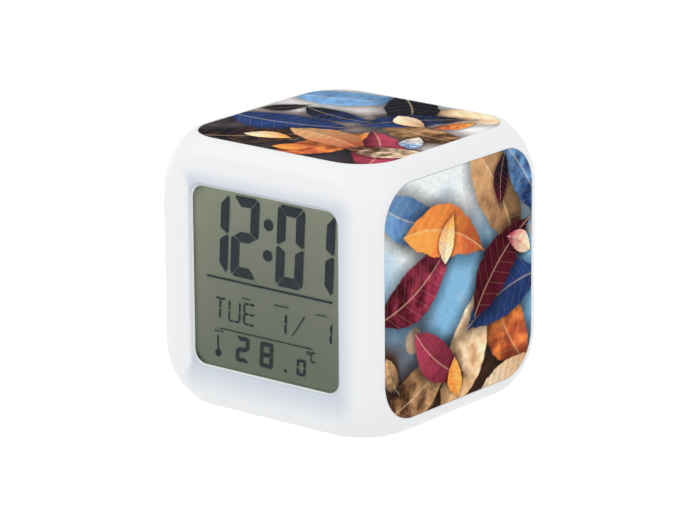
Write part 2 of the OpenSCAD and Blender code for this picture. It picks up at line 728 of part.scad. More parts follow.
module small_screws() color("silver") for (sx = [-1, 1], side = [-1, 1])
  translate([sx * stud_x, side * strip_y, small_board_top]) rotate([180, 0, 0]) pan_screw();

module tact_switch() translate([0, 0, tact_tip_z]) {
  cylinder(r = tact_tip_r, h = tact_tip_h);
  translate([-tact_w / 2, -tact_w / 2, tact_tip_h]) cube([tact_w, tact_w, tact_h]);
}
module tact_switches() color([0.12, 0.12, 0.13]) {
  key_places() tact_switch();
  translate([0, -strip_y, 0]) tact_switch();
}

module slide_switch() color("silver") translate([switch_x, -strip_y, switch_z]) difference() {
  translate([-switch_l / 2, -switch_w / 2, 0]) cube([switch_l, switch_w, switch_h]);
  translate([-shoe_l / 2 - slide_travel / 2 - knob_gap, -shoe_w / 2 - knob_gap, switch_floor])
    cube([shoe_l + slide_travel + 2 * knob_gap, shoe_w + 2 * knob_gap, shoe_t + knob_gap]);
  translate([-stem_len / 2 - slide_travel / 2 - knob_gap, -stem_wide / 2 - knob_gap, -over])
    cube([stem_len + slide_travel + 2 * knob_gap, stem_wide + 2 * knob_gap, switch_floor + 2 * over]);
}

module switch_knob() color([0.15, 0.15, 0.16]) translate([knob_x, -strip_y, 0]) {
  difference() {
    translate([-knob_l / 2, -knob_w / 2, base_z - knob_proud])
      cube([knob_l, knob_w, switch_z - knob_gap - base_z + knob_proud]);
    for (k = [-1, 0, 1]) translate([k * groove_pitch, 0, base_z - knob_proud])
      cube([groove_w, knob_w + over, 2 * groove_d], center = true);
  }
  translate([-stem_len / 2, -stem_wide / 2, base_z])
    cube([stem_len, stem_wide, switch_z + switch_floor + shoe_t / 2 - base_z]);
  translate([-shoe_l / 2, -shoe_w / 2, switch_z + switch_floor]) cube([shoe_l, shoe_w, shoe_t]);
}

module buzzer() color([0.1, 0.1, 0.11]) translate([buzzer_x, -strip_y, small_board_z - buzzer_h])
  difference() {
    cylinder(r = buzzer_r, h = buzzer_h);
    translate([0, 0, -over]) cylinder(r = buzzer_hole_r, h = buzzer_hole_d + over);
  }

// A flat ribbon along a path of [y, z] points, with mitred bends
function unit(v) = v / norm(v);
function ribbon_side(path, side) = [for (k = [0 : len(path) - 1])
  let (into = k > 0 ? unit(path[k] - path[k - 1]) : unit(path[1] - path[0]),
       out = k < len(path) - 1 ? unit(path[k + 1] - path[k]) : into,
       mitre = unit([-into.y - out.y, into.x + out.x]))
  path[k] + side * ribbon_t / 2 / (mitre * [-into.y, into.x]) * mitre];
module ribbon(path) let (back = ribbon_side(path, -1))
  rotate([90, 0, 90]) translate([0, 0, -ribbon_w / 2]) linear_extrude(ribbon_w)
    polygon(concat(ribbon_side(path, 1), [for (k = [len(path) - 1 : -1 : 0]) back[k]]));
board_back_y = -half + board_back_d + ribbon_t / 2;
over_roof_z = roof_z + bay_wall + ribbon_t / 2;
ribbon_foot_y = bay_out_w / 2 + 2 * side_gap;
module key_ribbon() color("lightgray") translate([ribbon_x, 0, 0]) ribbon([
  [ribbon_foot_y, small_board_top],
  [ribbon_foot_y, over_roof_z + key_ribbon_rise - ribbon_bend],
  [ribbon_foot_y - ribbon_bend, over_roof_z + key_ribbon_rise],
  [bay_out_w / 2 - key_ribbon_rise, over_roof_z],
  [-bay_out_w / 2, over_roof_z],
  [board_back_y, over_roof_z + ribbon_rise],
  [board_back_y, over_roof_z + ribbon_rise + ribbon_bend]]);
module control_ribbon() color("lightgray") translate([-ribbon_x, 0, 0]) ribbon([
  [-ribbon_foot_y, small_board_top],
  [-ribbon_foot_y, over_roof_z],
  [board_back_y, over_roof_z + ribbon_rise],
  [board_back_y, over_roof_z + ribbon_rise + ribbon_bend]]);

// A stepped plunger through the base plate, with a flange that keeps it in
module plunger(r, proud) {
  translate([0, 0, base_z - proud]) cylinder(r1 = r - key_edge, r2 = r, h = key_edge);
  translate([0, 0, base_z - proud + key_edge]) cylinder(r = r, h = proud - key_edge + base_t + flange_t);
  translate([0, 0, flange_z]) cylinder(r = r + flange_lap, h = flange_t);
}
module key(k) color("gainsboro") translate([(k - 1.5) * key_pitch, strip_y, 0]) plunger(key_r, key_proud);
module mode_key() key(0);
module set_key() key(1);
module up_key() key(2);
module down_key() key(3);
module snooze_foot() color("gainsboro") translate([0, -strip_y, 0]) plunger(snooze_r, snooze_proud);

housing();
top_panel();
right_panel();
left_panel();
rear_panel();
top_pad();
right_pad();
left_pad();
rear_pad();
lcd_polariser();
lcd_front_glass();
lcd_seal();
lcd_segments();
lcd_rear_glass();
lcd_reflector();
lcd_diffuser();
lcd_holder();
contact_strip();
main_board();
board_screws();
driver_chip();
quartz_crystal();
thermistor();
glow_lamps();
base_plate();
base_screws();
rubber_feet();
cell_1();
cell_2();
cell_3();
contact_minus();
contact_link_a();
contact_link_b();
contact_plus();
contact_springs();
battery_door();
key_board();
control_board();
small_screws();
tact_switches();
slide_switch();
buzzer();
key_ribbon();
control_ribbon();
mode_key();
set_key();
up_key();
down_key();
snooze_foot();
switch_knob();
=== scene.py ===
# Cube-shaped digital alarm clock: milky rounded housing, segment display, four printed metal panels.
import math
import bmesh
import bpy
from mathutils import Matrix, Vector


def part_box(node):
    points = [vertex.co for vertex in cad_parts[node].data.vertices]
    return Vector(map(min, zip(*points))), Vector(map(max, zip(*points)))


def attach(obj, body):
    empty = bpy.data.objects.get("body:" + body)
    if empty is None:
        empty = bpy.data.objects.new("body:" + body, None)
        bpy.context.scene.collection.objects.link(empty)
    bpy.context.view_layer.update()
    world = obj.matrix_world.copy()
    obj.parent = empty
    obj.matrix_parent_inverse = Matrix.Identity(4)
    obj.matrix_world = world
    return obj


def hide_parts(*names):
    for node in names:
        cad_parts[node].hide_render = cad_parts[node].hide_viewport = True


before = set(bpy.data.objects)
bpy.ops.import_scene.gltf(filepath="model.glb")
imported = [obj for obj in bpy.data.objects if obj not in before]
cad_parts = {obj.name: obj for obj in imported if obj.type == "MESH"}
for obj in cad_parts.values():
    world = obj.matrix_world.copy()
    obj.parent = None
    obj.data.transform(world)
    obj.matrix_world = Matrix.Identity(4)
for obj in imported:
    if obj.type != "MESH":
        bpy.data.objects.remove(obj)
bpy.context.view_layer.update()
scene = bpy.context.scene
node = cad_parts

# Studio. A white sheet under the clock, an even white surround and two broad soft lamps,
# as for a catalogue picture. The camera looks down on the clock's front right edge from far off.
scene.view_settings.view_transform = "Standard"
housing_low, housing_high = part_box("housing")
mid_z = (housing_low.z + housing_high.z) / 2
camera_distance, camera_left, camera_down = 1.2252, 0.00011, 0.00111
focal_pixels, picture_pixels = 4211.0, 700
clock_middle = Vector((0, 0, mid_z))
azimuth, elevation, roll = (math.radians(a) for a in (38.70, 16.18, -0.37))
towards_camera = Vector((math.sin(azimuth) * math.cos(elevation),
                         -math.cos(azimuth) * math.cos(elevation), math.sin(elevation)))
level_right = (-towards_camera).cross(Vector((0, 0, 1))).normalized()
level_up = level_right.cross(-towards_camera)
camera_right = math.cos(roll) * level_right + math.sin(roll) * level_up
camera_up = math.cos(roll) * level_up - math.sin(roll) * level_right
camera_place = (clock_middle + camera_distance * towards_camera
                - camera_left * camera_right - camera_down * camera_up)
camera_data = bpy.data.cameras.new("catalogue_camera")
camera_data.sensor_fit, camera_data.sensor_width = "HORIZONTAL", 36
camera_data.lens = camera_data.sensor_width * focal_pixels / picture_pixels
camera = bpy.data.objects.new("catalogue_camera", camera_data)
camera.matrix_world = Matrix.Translation(camera_place) @ Matrix(
    (camera_right, camera_up, towards_camera)).transposed().to_4x4()
scene.collection.objects.link(camera)
scene.camera = camera


def put(tree, slot, value):
    """Links a socket to a slot, or sets the slot to a value; a colour of three numbers gets its alpha."""
    if isinstance(value, bpy.types.NodeSocket):
        tree.links.new(value, slot)
    else:
        slot.default_value = (*value, 1) if slot.type == "RGBA" and len(value) == 3 else value


def sum_node(tree, operation, *values, clamp=False):
    """A Math node on sockets or numbers; returns its output."""
    summing = tree.nodes.new("ShaderNodeMath")
    summing.operation, summing.use_clamp = operation, clamp
    for slot, value in zip(summing.inputs, values):
        put(tree, slot, value)
    return summing.outputs[0]


def ray_is(tree, *kinds):
    """1 for rays of any of these kinds, 0 for others."""
    path = tree.nodes.new("ShaderNodeLightPath")
    found = 0.0
    for kind in kinds:
        found = sum_node(tree, "MAXIMUM", path.outputs["Is " + kind + " Ray"], found)
    return found


surround = bpy.data.worlds.new("white_surround")
surround.use_nodes = True
scene.world = surround
surround_tree = surround.node_tree
surround_light = surround_tree.nodes["Background"]
surround_level = surround_tree.nodes.new("ShaderNodeMapRange")
surround_level.inputs["To Min"].default_value = 0.82
surround_level.inputs["To Max"].default_value = 1.0
surround_seen = ray_is(surround_tree, "Camera", "Glossy", "Transmission")
surround_tree.links.new(surround_seen, surround_level.inputs["Value"])
surround_tree.links.new(surround_level.outputs["Result"], surround_light.inputs["Strength"])
surround_light.inputs["Color"].default_value = (1, 1, 1, 1)

for lamp_name, lamp_place, lamp_width, lamp_power in (
        ("soft_lamp_left", (-1.1, -1.3, 1.6), 1.6, 7.0),
        ("soft_lamp_right", (1.7, -0.7, 1.1), 1.6, 5.0)):
    lamp_data = bpy.data.lights.new(lamp_name, "AREA")
    lamp_data.size, lamp_data.energy = lamp_width, lamp_power
    lamp = bpy.data.objects.new(lamp_name, lamp_data)
    lamp.location = lamp_place
    lamp.rotation_euler = (clock_middle - lamp.location).to_track_quat("-Z", "Y").to_euler()
    scene.collection.objects.link(lamp)


def new_piece(name, mesh, *materials):
    piece = bpy.data.objects.new(name, mesh)
    scene.collection.objects.link(piece)
    for material in materials:
        mesh.materials.append(material)
    return piece


def new_finish(name, base, roughness, metallic=0.0, **plain):
    """A Principled material with constant values on its own sockets; returns it, its tree and the shader."""
    material = bpy.data.materials.new(name)
    material.use_nodes = True
    shader = material.node_tree.nodes["Principled BSDF"]
    shader.inputs["Base Color"].default_value = (*base, 1)
    shader.inputs["Roughness"].default_value = roughness
    shader.inputs["Metallic"].default_value = metallic
    for socket, value in plain.items():
        shader.inputs[socket.replace("_", " ")].default_value = value
    return material, material.node_tree, shader


sheet_finish, sheet_tree, sheet_shader = new_finish("white_paper_sheet", (0.95, 0.95, 0.95), 0.9)
sheet_grain = sheet_tree.nodes.new("ShaderNodeTexNoise")
sheet_grain.inputs["Scale"].default_value = 900
sheet_bump = sheet_tree.nodes.new("ShaderNodeBump")
sheet_bump.inputs["Strength"].default_value = 0.02
sheet_tree.links.new(sheet_grain.outputs["Fac"], sheet_bump.inputs["Height"])
sheet_tree.links.new(sheet_bump.outputs["Normal"], sheet_shader.inputs["Normal"])
sheet_shader.inputs["Emission Color"].default_value = (1, 1, 1, 1)
sheet_seen = ray_is(sheet_tree, "Camera", "Glossy", "Transmission")
sheet_glow = sum_node(sheet_tree, "MULTIPLY", sheet_seen, 0.60)
sheet_tree.links.new(sheet_glow, sheet_shader.inputs["Emission Strength"])
# Seen from below the sheet is clear, and half of the surround's light comes through it to the underside
sheet_side = sheet_tree.nodes.new("ShaderNodeNewGeometry")
sheet_clear = sheet_tree.nodes.new("ShaderNodeBsdfTransparent")
sheet_mix = sheet_tree.nodes.new("ShaderNodeMixShader")
sheet_through = sum_node(sheet_tree, "MULTIPLY", ray_is(sheet_tree, "Diffuse", "Shadow"), 0.5)
sheet_tree.links.new(sum_node(sheet_tree, "MAXIMUM", sheet_through, sheet_side.outputs["Backfacing"]),
                     sheet_mix.inputs["Fac"])
sheet_tree.links.new(sheet_shader.outputs["BSDF"], sheet_mix.inputs[1])
sheet_tree.links.new(sheet_clear.outputs["BSDF"], sheet_mix.inputs[2])
sheet_tree.links.new(sheet_mix.outputs["Shader"], sheet_tree.nodes["Material Output"].inputs["Surface"])
sheet_mesh = bpy.data.meshes.new("white_sheet")
sheet_half = 6
sheet_corners = [(sx * sheet_half, sy * sheet_half, 0) for sx, sy in ((-1, -1), (1, -1), (1, 1), (-1, 1))]
sheet_mesh.from_pydata(sheet_corners, [], [(0, 1, 2, 3)])
white_sheet = new_piece("white_sheet", sheet_mesh, sheet_finish)

# Housing. One moulding in milky plastic: a cube whose edges and corners a ball has rounded, with soft
# creases where the flat faces cut it. Hollow, with a pocket for each panel, a window for the
# display, an opening below and, inside, four screw bosses and four posts for the main board.
MM = 0.001
wall, ball_core, ball_r, crease_softness = 3.0, 22.0, 23.0, 1.0
flat_at = housing_high.x / MM
inner_flat_at, inner_ball_r = flat_at - wall, 20.6
window_half, window_r, slope_width, land = 26.65, 4.0, 1.2, 0.1
lip = flat_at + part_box("lcd_polariser")[0].y / MM
# Openings as half width, half height and corner radius, sized to the pieces that sit in them
panel_half, panel_r, panel_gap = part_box("right_panel")[1].y, 12.5, 0.15
panel_pocket = (panel_half / MM + panel_gap, panel_half / MM + panel_gap, panel_r + panel_gap)
pocket_depth, pocket_edge = flat_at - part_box("right_pad")[0].x / MM, 0.15
glass_low, glass_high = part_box("lcd_front_glass")
glass_side_gap, glass_end_gap, glass_pocket_r = 0.3, 0.275, 4.0
glass_pocket = (glass_high.x / MM + glass_side_gap,
                (glass_high.z - glass_low.z) / 2 / MM + glass_end_gap, glass_pocket_r)
glass_shift = ((glass_low.z + glass_high.z) / 2 - mid_z) / MM
base_half, base_r, base_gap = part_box("base_plate")[1].x / MM, 12.8, 0.2
floor_recess = (base_half + base_gap, base_half + base_gap, base_r + base_gap)
floor_sink, floor_edge, floor_lap, floor_opening_r = 2.4, 0.25, 1.8, 18.0
floor_opening = (base_half - floor_lap, base_half - floor_lap, floor_opening_r)
inner_patch = (20, 20, 8)
arc_steps, side_steps = 16, 10
# Right and up along each face, seen from outside, and out of it
face_axes = {
    "front": (Vector((1, 0, 0)), Vector((0, 0, 1)), Vector((0, -1, 0))),
    "right": (Vector((0, 1, 0)), Vector((0, 0, 1)), Vector((1, 0, 0))),
    "rear": (Vector((-1, 0, 0)), Vector((0, 0, 1)), Vector((0, 1, 0))),
    "left": (Vector((0, -1, 0)), Vector((0, 0, 1)), Vector((-1, 0, 0))),
    "top": (Vector((1, 0, 0)), Vector((0, 1, 0)), Vector((0, 0, 1))),
    "bottom": (Vector((1, 0, 0)), Vector((0, -1, 0)), Vector((0, 0, -1))),
}


def rounded_loop(half_wide, half_high, corner_r, height, shift_up=0.0):
    """Points of a rounded rectangle on a face, in millimetres, as (right, up, out)."""
    loop = []
    signs = ((1, 1), (-1, 1), (-1, -1), (1, -1))
    for k, (sx, sy) in enumerate(signs):
        for j in range(arc_steps + 1):
            turn = math.radians(90 * (k + j / arc_steps))
            loop.append(Vector((sx * (half_wide - corner_r) + corner_r * math.cos(turn),
                                sy * (half_high - corner_r) + corner_r * math.sin(turn) + shift_up, height)))
        nx, ny = signs[(k + 1) % 4]
        turn = math.radians(90 * (k + 1))
        start = loop[-1]
        end = Vector((nx * (half_wide - corner_r) + corner_r * math.cos(turn),
                      ny * (half_high - corner_r) + corner_r * math.sin(turn) + shift_up, height))
        loop += [start.lerp(end, j / side_steps) for j in range(1, side_steps)]
    return loop


def crease_angle(flat, ball):
    return math.acos((flat - ball_core) / ball)


def ball_loop(flat, ball, share):
    """The loop on the ball-rounded form at a share of the way from the crease to the middle of the edge."""
    tilt = crease_angle(flat, ball)

    def corner_point(k, turn):
        mirrored = turn > 45
        t = math.tan(math.radians(90 - turn if mirrored else turn))
        c = 1 / math.sqrt(2 + t * t)
        edge = Vector((c * t, c, c)) if mirrored else Vector((c, c * t, c))
        a = math.radians(turn)
        crease = Vector((math.sin(tilt) * math.cos(a), math.sin(tilt) * math.sin(a), math.cos(tilt)))
        out = crease.slerp(edge, share) if share > 0 else crease
        x, y, z = (ball_core + ball * e for e in out)
        for _ in range(k):
            x, y = -y, x
        return Vector((x, y, z))

    loop = []
    for k in range(4):
        loop += [corner_point(k, 90 * j / arc_steps) for j in range(arc_steps + 1)]
        end = corner_point((k + 1) % 4, 0)
        start = loop[-1]
        loop += [start.lerp(end, j / side_steps) for j in range(1, side_steps)]
    return loop


def softened(point, flat, ball):
    """Moves a point near a crease inwards, so that flat and rounding flow into each other."""
    def depth(p):
        on_flat = p.z - flat
        reach = Vector([max(abs(e) - ball_core, 0) for e in p])
        on_ball = reach.length - ball
        near = max(crease_softness - abs(on_flat - on_ball), 0) / crease_softness
        return max(on_flat, on_ball) + near * near * crease_softness / 4
    for _ in range(3):
        value, step = depth(point), 1e-4
        slope = Vector([(depth(point + step * e) - value) / step
                        for e in (Vector((1, 0, 0)), Vector((0, 1, 0)), Vector((0, 0, 1)))])
        point = point - value * slope / slope.length_squared
    return point


def ring_of(mesh, loop_a, loop_b):
    """Quads between two loops of vertices, outwards."""
    n = len(loop_a)
    for j in range(n):
        mesh.faces.new((loop_a[j], loop_b[j], loop_b[(j + 1) % n], loop_a[(j + 1) % n]))


def put_loop(mesh, face, loop):
    right, up, out = face_axes[face]
    return [mesh.verts.new(clock_middle + MM * (p.x * right + p.y * up + p.z * out)) for p in loop]


def face_skin(mesh, face, flat, ball, opening, mouth):
    """One side of the skin, from its opening's mouth to the edges. opening is half width, half height, corner
    radius and shift up; mouth is a list of (out of the edge, height) steps. Returns the innermost loop."""
    wide, high, corner, shift = opening
    rows = [rounded_loop(wide + o, high + o, corner + o, flat + h, shift) for o, h in mouth]
    brim = rows[-1]
    tilt = crease_angle(flat, ball)
    crease_half = ball_core + ball * math.sin(tilt)
    crease = rounded_loop(crease_half, crease_half, ball * math.sin(tilt), flat)
    band, clear_of_mouth = max(crease_half - wide, 1.0), 0.12
    for back in (5.0, 2.6, 1.9, 1.5, 1.2, 0.9, 0.6, 0.4, 0.2, 0.0):
        share = 1 - back / band
        if share > clear_of_mouth:
            rows.append([softened(a.lerp(b, share), flat, ball) for a, b in zip(brim, crease)])
    for share in (0.04, 0.09, 0.16, 0.25, 0.36, 0.5, 0.66, 0.83, 1.0):
        rows.append([softened(p, flat, ball) for p in ball_loop(flat, ball, share)])
    rows = [put_loop(mesh, face, row) for row in rows]
    for a, b in zip(rows, rows[1:]):
        ring_of(mesh, a, b)
    return rows[0]


def rounded_mouth(depth, edge_r):
    """An opening's wall from its depth up, with a small rounded edge, as (out of the edge, height)."""
    steps = [(0.0, -depth), (0.0, -edge_r - 0.02)]
    steps += [(edge_r * (1 - math.cos(a)), -edge_r * (1 - math.sin(a)))
              for a in (math.radians(15 * k) for k in range(7))]
    return steps + [(edge_r + 0.05, 0.0)]


def sloped_mouth(depth, width, land):
    """The window's wall: a short straight land at the glass, then a slope with soft ends up to the face."""
    slope = [(0.0, -depth), (0.0, -depth + 0.5 * land), (0.05, -depth + land + 0.05)]
    slope += [(share * width, -width + share * width) for share in (0.2, 0.4, 0.6, 0.78)]
    return slope + [(0.88 * width, -0.13 * width), (0.97 * width, -0.065 * width),
                    (1.07 * width, -0.022 * width), (1.2 * width, 0.0)]


def turned(mesh, profile, foot, axis, sides=32, material=0):
    """Turns a closed profile of (radius, height) in metres round an axis from a foot point."""
    on_axis = 1e-7
    axis = Vector(axis).normalized()
    across = axis.orthogonal().normalized()
    deep = axis.cross(across)
    rings = []
    for radius, height in profile:
        centre = Vector(foot) + height * axis
        if radius < on_axis:
            rings.append([mesh.verts.new(centre)])
        else:
            rings.append([mesh.verts.new(centre + radius * (math.cos(a) * across + math.sin(a) * deep))
                          for a in (2 * math.pi * j / sides for j in range(sides))])
    closed = len(profile) > 2 and profile[0][0] > on_axis and profile[-1][0] > on_axis
    for a, b in list(zip(rings, rings[1:])) + ([(rings[-1], rings[0])] if closed else []):
        for j in range(sides):
            k = (j + 1) % sides
            corners = ([a[0], b[j], b[k]] if len(a) == 1 else
                       [a[j], b[0], a[k]] if len(b) == 1 else [a[j], b[j], b[k], a[k]])
            mesh.faces.new(corners).material_index = material


def finished_mesh(name, mesh, sharp_degrees=35):
    bmesh.ops.remove_doubles(mesh, verts=mesh.verts, dist=1e-7)
    bmesh.ops.recalc_face_normals(mesh, faces=mesh.faces)
    data = bpy.data.meshes.new(name)
    mesh.to_mesh(data)
    mesh.free()
    data.shade_smooth()
    data.set_sharp_from_angle(angle=math.radians(sharp_degrees))
    return data


shell = bmesh.new()
pocket_mouth = rounded_mouth(pocket_depth, pocket_edge)
for face in ("right", "rear", "left", "top"):
    shell.faces.new(face_skin(shell, face, flat_at, ball_r, (*panel_pocket, 0), pocket_mouth))
window = face_skin(shell, "front", flat_at, ball_r, (window_half, window_half, window_r, 0),
                   sloped_mouth(lip, slope_width, land))
recess = face_skin(shell, "bottom", flat_at, ball_r, (*floor_recess, 0),
                   rounded_mouth(floor_sink, floor_edge))
glass_seat = rounded_loop(*glass_pocket, flat_at - lip, glass_shift)
floor_hole = rounded_loop(*floor_opening, flat_at - floor_sink)
inside, bare_mouth = (inner_flat_at, inner_ball_r), [(0.0, 0.0)]
for face in ("right", "rear", "left", "top"):
    shell.faces.new(face_skin(shell, face, *inside, (*inner_patch, 0), bare_mouth))
inside_front = face_skin(shell, "front", *inside, (*glass_pocket, glass_shift), bare_mouth)
inside_floor = face_skin(shell, "bottom", *inside, (*floor_opening, 0), bare_mouth)
seat = put_loop(shell, "front", glass_seat)
ring_of(shell, window, seat)
ring_of(shell, seat, inside_front)
hole = put_loop(shell, "bottom", floor_hole)
ring_of(shell, recess, hole)
ring_of(shell, hole, inside_floor)
boss_inset, boss_h, boss_r, boss_bore = 0.0078, 0.008, 0.0032, 0.00115
boss_at, boss_foot = MM * base_half - boss_inset, housing_low.z + MM * floor_sink
post_side, post_r, post_bore, post_z, post_sunk = 0.0007, 0.002, 0.0009, 0.018, 0.0001
post_x, post_y = MM * glass_pocket[0] + post_side + post_r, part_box("main_board")[0].y
post_h = MM * inner_flat_at + post_y + post_sunk
for sx in (-1, 1):
    for sy in (-1, 1):
        turned(shell, [(boss_r, 0), (boss_r, boss_h), (boss_bore, boss_h), (boss_bore, 0)],
               (sx * boss_at, sy * boss_at, boss_foot), (0, 0, 1))
        turned(shell, [(post_r, 0), (post_r, post_h), (post_bore, post_h), (post_bore, 0)],
               (sx * post_x, post_y, mid_z + sy * post_z), (0, -1, 0))


def effect(name, inputs, outputs):
    """A shader node group with named sockets, each with its starting value."""
    group = bpy.data.node_groups.new(name, "ShaderNodeTree")
    kinds = {"F": "NodeSocketFloat", "C": "NodeSocketColor", "V": "NodeSocketVector"}
    for label, kind, value in inputs:
        group.interface.new_socket(label, in_out="INPUT", socket_type=kinds[kind]).default_value = value
    for label, kind in outputs:
        group.interface.new_socket(label, in_out="OUTPUT", socket_type=kinds[kind])
    return group, group.nodes.new("NodeGroupInput"), group.nodes.new("NodeGroupOutput")


def blend_colours(tree, share, under, over, kind="MIX"):
    """A Mix node on colours; share, under and over are sockets or values."""
    mixer = tree.nodes.new("ShaderNodeMix")
    mixer.data_type, mixer.blend_type = "RGBA", kind
    for slot, value in ((0, share), (6, under), (7, over)):
        put(tree, mixer.inputs[slot], value)
    return mixer.outputs[2]


def effect_on(tree, group, **values):
    """Places an effect group in a material; values are sockets or numbers, by input name."""
    placed = tree.nodes.new("ShaderNodeGroup")
    placed.node_tree = group
    for label, value in values.items():
        put(tree, placed.inputs[label.replace("_", " ")], value)
    return placed


def noise_on(tree, place, scale, detail=2.0):
    """A Noise texture; returns its Fac."""
    texture = tree.nodes.new("ShaderNodeTexNoise")
    for label, value in (("Vector", place), ("Scale", scale), ("Detail", detail)):
        put(tree, texture.inputs[label], value)
    return texture.outputs["Fac"]


def grey(tree, level):
    """A level as a grey, for multiplying colours."""
    combined = tree.nodes.new("ShaderNodeCombineColor")
    for channel in combined.inputs:
        tree.links.new(level, channel)
    return combined.outputs["Color"]


def eased_normal(tree, radius):
    """The normal with the piece's sharp edges eased to a radius."""
    eased = tree.nodes.new("ShaderNodeBevel")
    eased.samples = 4
    eased.inputs["Radius"].default_value = radius
    return eased.outputs["Normal"]


def axes_of(tree, place):
    split = tree.nodes.new("ShaderNodeSeparateXYZ")
    tree.links.new(place, split.inputs[0])
    return split.outputs


# The fine orange-peel that a tool's surface leaves on a moulding, with faint flow clouds in the colour
moulded_skin, skin_in, skin_out = effect(
    "moulded_skin", [("Place", "V", (0, 0, 0)), ("Peel size", "F", 0.0004), ("Clouds", "F", 0.02)],
    [("Height", "F"), ("Tone", "F"), ("Gloss", "F")])
peel_scale = sum_node(moulded_skin, "DIVIDE", 1.0, skin_in.outputs["Peel size"])
peel = noise_on(moulded_skin, skin_in.outputs["Place"], peel_scale, 3)
flow = noise_on(moulded_skin, skin_in.outputs["Place"], 55)
moulded_skin.links.new(peel, skin_out.inputs["Height"])
flow_shift = sum_node(moulded_skin, "SUBTRACT", flow, 0.5)
clouded_tone = sum_node(moulded_skin, "MULTIPLY_ADD", flow_shift, skin_in.outputs["Clouds"], 1.0)
moulded_skin.links.new(clouded_tone, skin_out.inputs["Tone"])
moulded_skin.links.new(sum_node(moulded_skin, "MULTIPLY", flow_shift, 0.25), skin_out.inputs["Gloss"])


def object_place(tree):
    return tree.nodes.new("ShaderNodeTexCoord").outputs["Object"]


def moulded(name, colour, roughness, peel_size=0.0004, clouds=0.03, bump=0.06, edge=0.00025, tint=None,
            **plain):
    """A moulded plastic: tone, gloss and surface from the moulded skin, with its sharp edges eased.
    tint, where given, takes the tree and the place and returns the colour's socket."""
    material, tree, shader = new_finish(name, colour, roughness, **plain)
    place = object_place(tree)
    skin = effect_on(tree, moulded_skin, Place=place, Peel_size=peel_size, Clouds=clouds)
    under = tint(tree, place) if tint else colour
    toned = blend_colours(tree, 1.0, under, grey(tree, skin.outputs["Tone"]), "MULTIPLY")
    tree.links.new(toned, shader.inputs["Base Color"])
    tree.links.new(sum_node(tree, "ADD", skin.outputs["Gloss"], roughness), shader.inputs["Roughness"])
    raised = tree.nodes.new("ShaderNodeBump")
    raised.inputs["Strength"].default_value = bump
    raised.inputs["Distance"].default_value = 0.00005
    tree.links.new(skin.outputs["Height"], raised.inputs["Height"])
    if edge:
        tree.links.new(eased_normal(tree, edge), raised.inputs["Normal"])
    tree.links.new(raised.outputs["Normal"], shader.inputs["Normal"])
    return material


def module_and_its_shade_through_wall(tree, place):
    """The display module behind the milky wall, and the shade it keeps there, are painted as a cooler, darker
    border round the window: painted shade, wider to the right and below.
    """
    x, y, z = axes_of(tree, place)
    z = sum_node(tree, "SUBTRACT", z, mid_z)
    border, reach_left, reach_right, reach_down, reach_up = 0.0266, 0.0011, 0.0064, 0.0085, 0.0050
    bright_until, shaded_from, module_front = -0.03905, -0.03925, -0.0385

    def past(axis, low, low_reach, high, high_reach):
        above = sum_node(tree, "DIVIDE", sum_node(tree, "SUBTRACT", axis, high), high_reach)
        below = sum_node(tree, "DIVIDE", sum_node(tree, "SUBTRACT", low, axis), low_reach)
        return sum_node(tree, "MAXIMUM", sum_node(tree, "MAXIMUM", above, below), 0.0)

    beyond = sum_node(tree, "MAXIMUM", sum_node(tree, "SUBTRACT", sum_node(tree, "ABSOLUTE", z), border), 0.0)
    wider_left = sum_node(tree, "MULTIPLY_ADD", beyond, 0.7, reach_left)
    sideways = past(x, -border, wider_left, border, reach_right)
    upright = past(z, -border, reach_down, border, reach_up)
    away = sum_node(tree, "SQRT", sum_node(tree, "ADD", sum_node(tree, "MULTIPLY", sideways, sideways),
                                          sum_node(tree, "MULTIPLY", upright, upright)))
    fade = tree.nodes.new("ShaderNodeMapRange")
    fade.interpolation_type = "SMOOTHSTEP"
    fade.inputs["From Min"].default_value, fade.inputs["From Max"].default_value = 1.25, -0.15
    tree.links.new(away, fade.inputs["Value"])
    # The lip's thin edge at the glass lets the light through and stays bright
    lip_edge = tree.nodes.new("ShaderNodeMapRange")
    lip_edge.inputs["From Min"].default_value = bright_until
    lip_edge.inputs["From Max"].default_value = shaded_from
    tree.links.new(y, lip_edge.inputs["Value"])
    near_glass_lit_and_shaded = blend_colours(tree, lip_edge.outputs["Result"], (0.985, 0.990, 0.995), (0.62, 0.67, 0.765))
    # Painted shade: the cool, darker colour fades out from the window's edge
    share = sum_node(tree, "MULTIPLY", fade.outputs["Result"], sum_node(tree, "LESS_THAN", y, module_front))
    return blend_colours(tree, share, (0.895, 0.910, 0.925), near_glass_lit_and_shaded)


# The milky plastic carries the painted shade round the display window
milky_plastic_with_painted_shade = moulded("milky_plastic_with_painted_shade", (0.895, 0.910, 0.925), 0.42, clouds=0.02, bump=0.05, edge=0,
                        tint=module_and_its_shade_through_wall, Subsurface_Weight=0.35)
milky_shader = milky_plastic_with_painted_shade.node_tree.nodes["Principled BSDF"]
milky_shader.inputs["Subsurface Radius"].default_value = (1.0, 1.0, 1.0)
milky_shader.inputs["Subsurface Scale"].default_value = 0.0015
housing = new_piece("housing_shell", finished_mesh("housing_shell", shell), milky_plastic_with_painted_shade)
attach(housing, "case")
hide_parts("housing")


def dress(name, material):
    """Gives a CAD node its finish."""
    piece = node[name]
    piece.data.materials.clear()
    piece.data.materials.append(material)


# Panels. Four square plates of coated aluminium with rounded corners, each with a picture dyed into
# its matt coat, laid in the pockets on adhesive pads. The pictures are fallen leaves before a blurred ground.
leaf, leaf_in, leaf_out = effect(
    "print_leaf",
    [("Under", "C", (1, 1, 1, 1)), ("Colour", "C", (0, 0, 0, 1)), ("Tip", "C", (0, 0, 0, 1)),
     ("Place", "V", (0, 0, 0)), ("Foot", "V", (0, 0, 0)), ("Turn", "V", (0, 0, 0)), ("Size", "V", (1, 1, 1)),
     ("Width", "F", 0.2), ("Bend", "F", 0.2)],
    [("Colour", "C")])


def maths(tree):
    """Math nodes of one tree, by operation."""
    return lambda operation, *values, clamp=False: sum_node(tree, operation, *values, clamp=clamp)


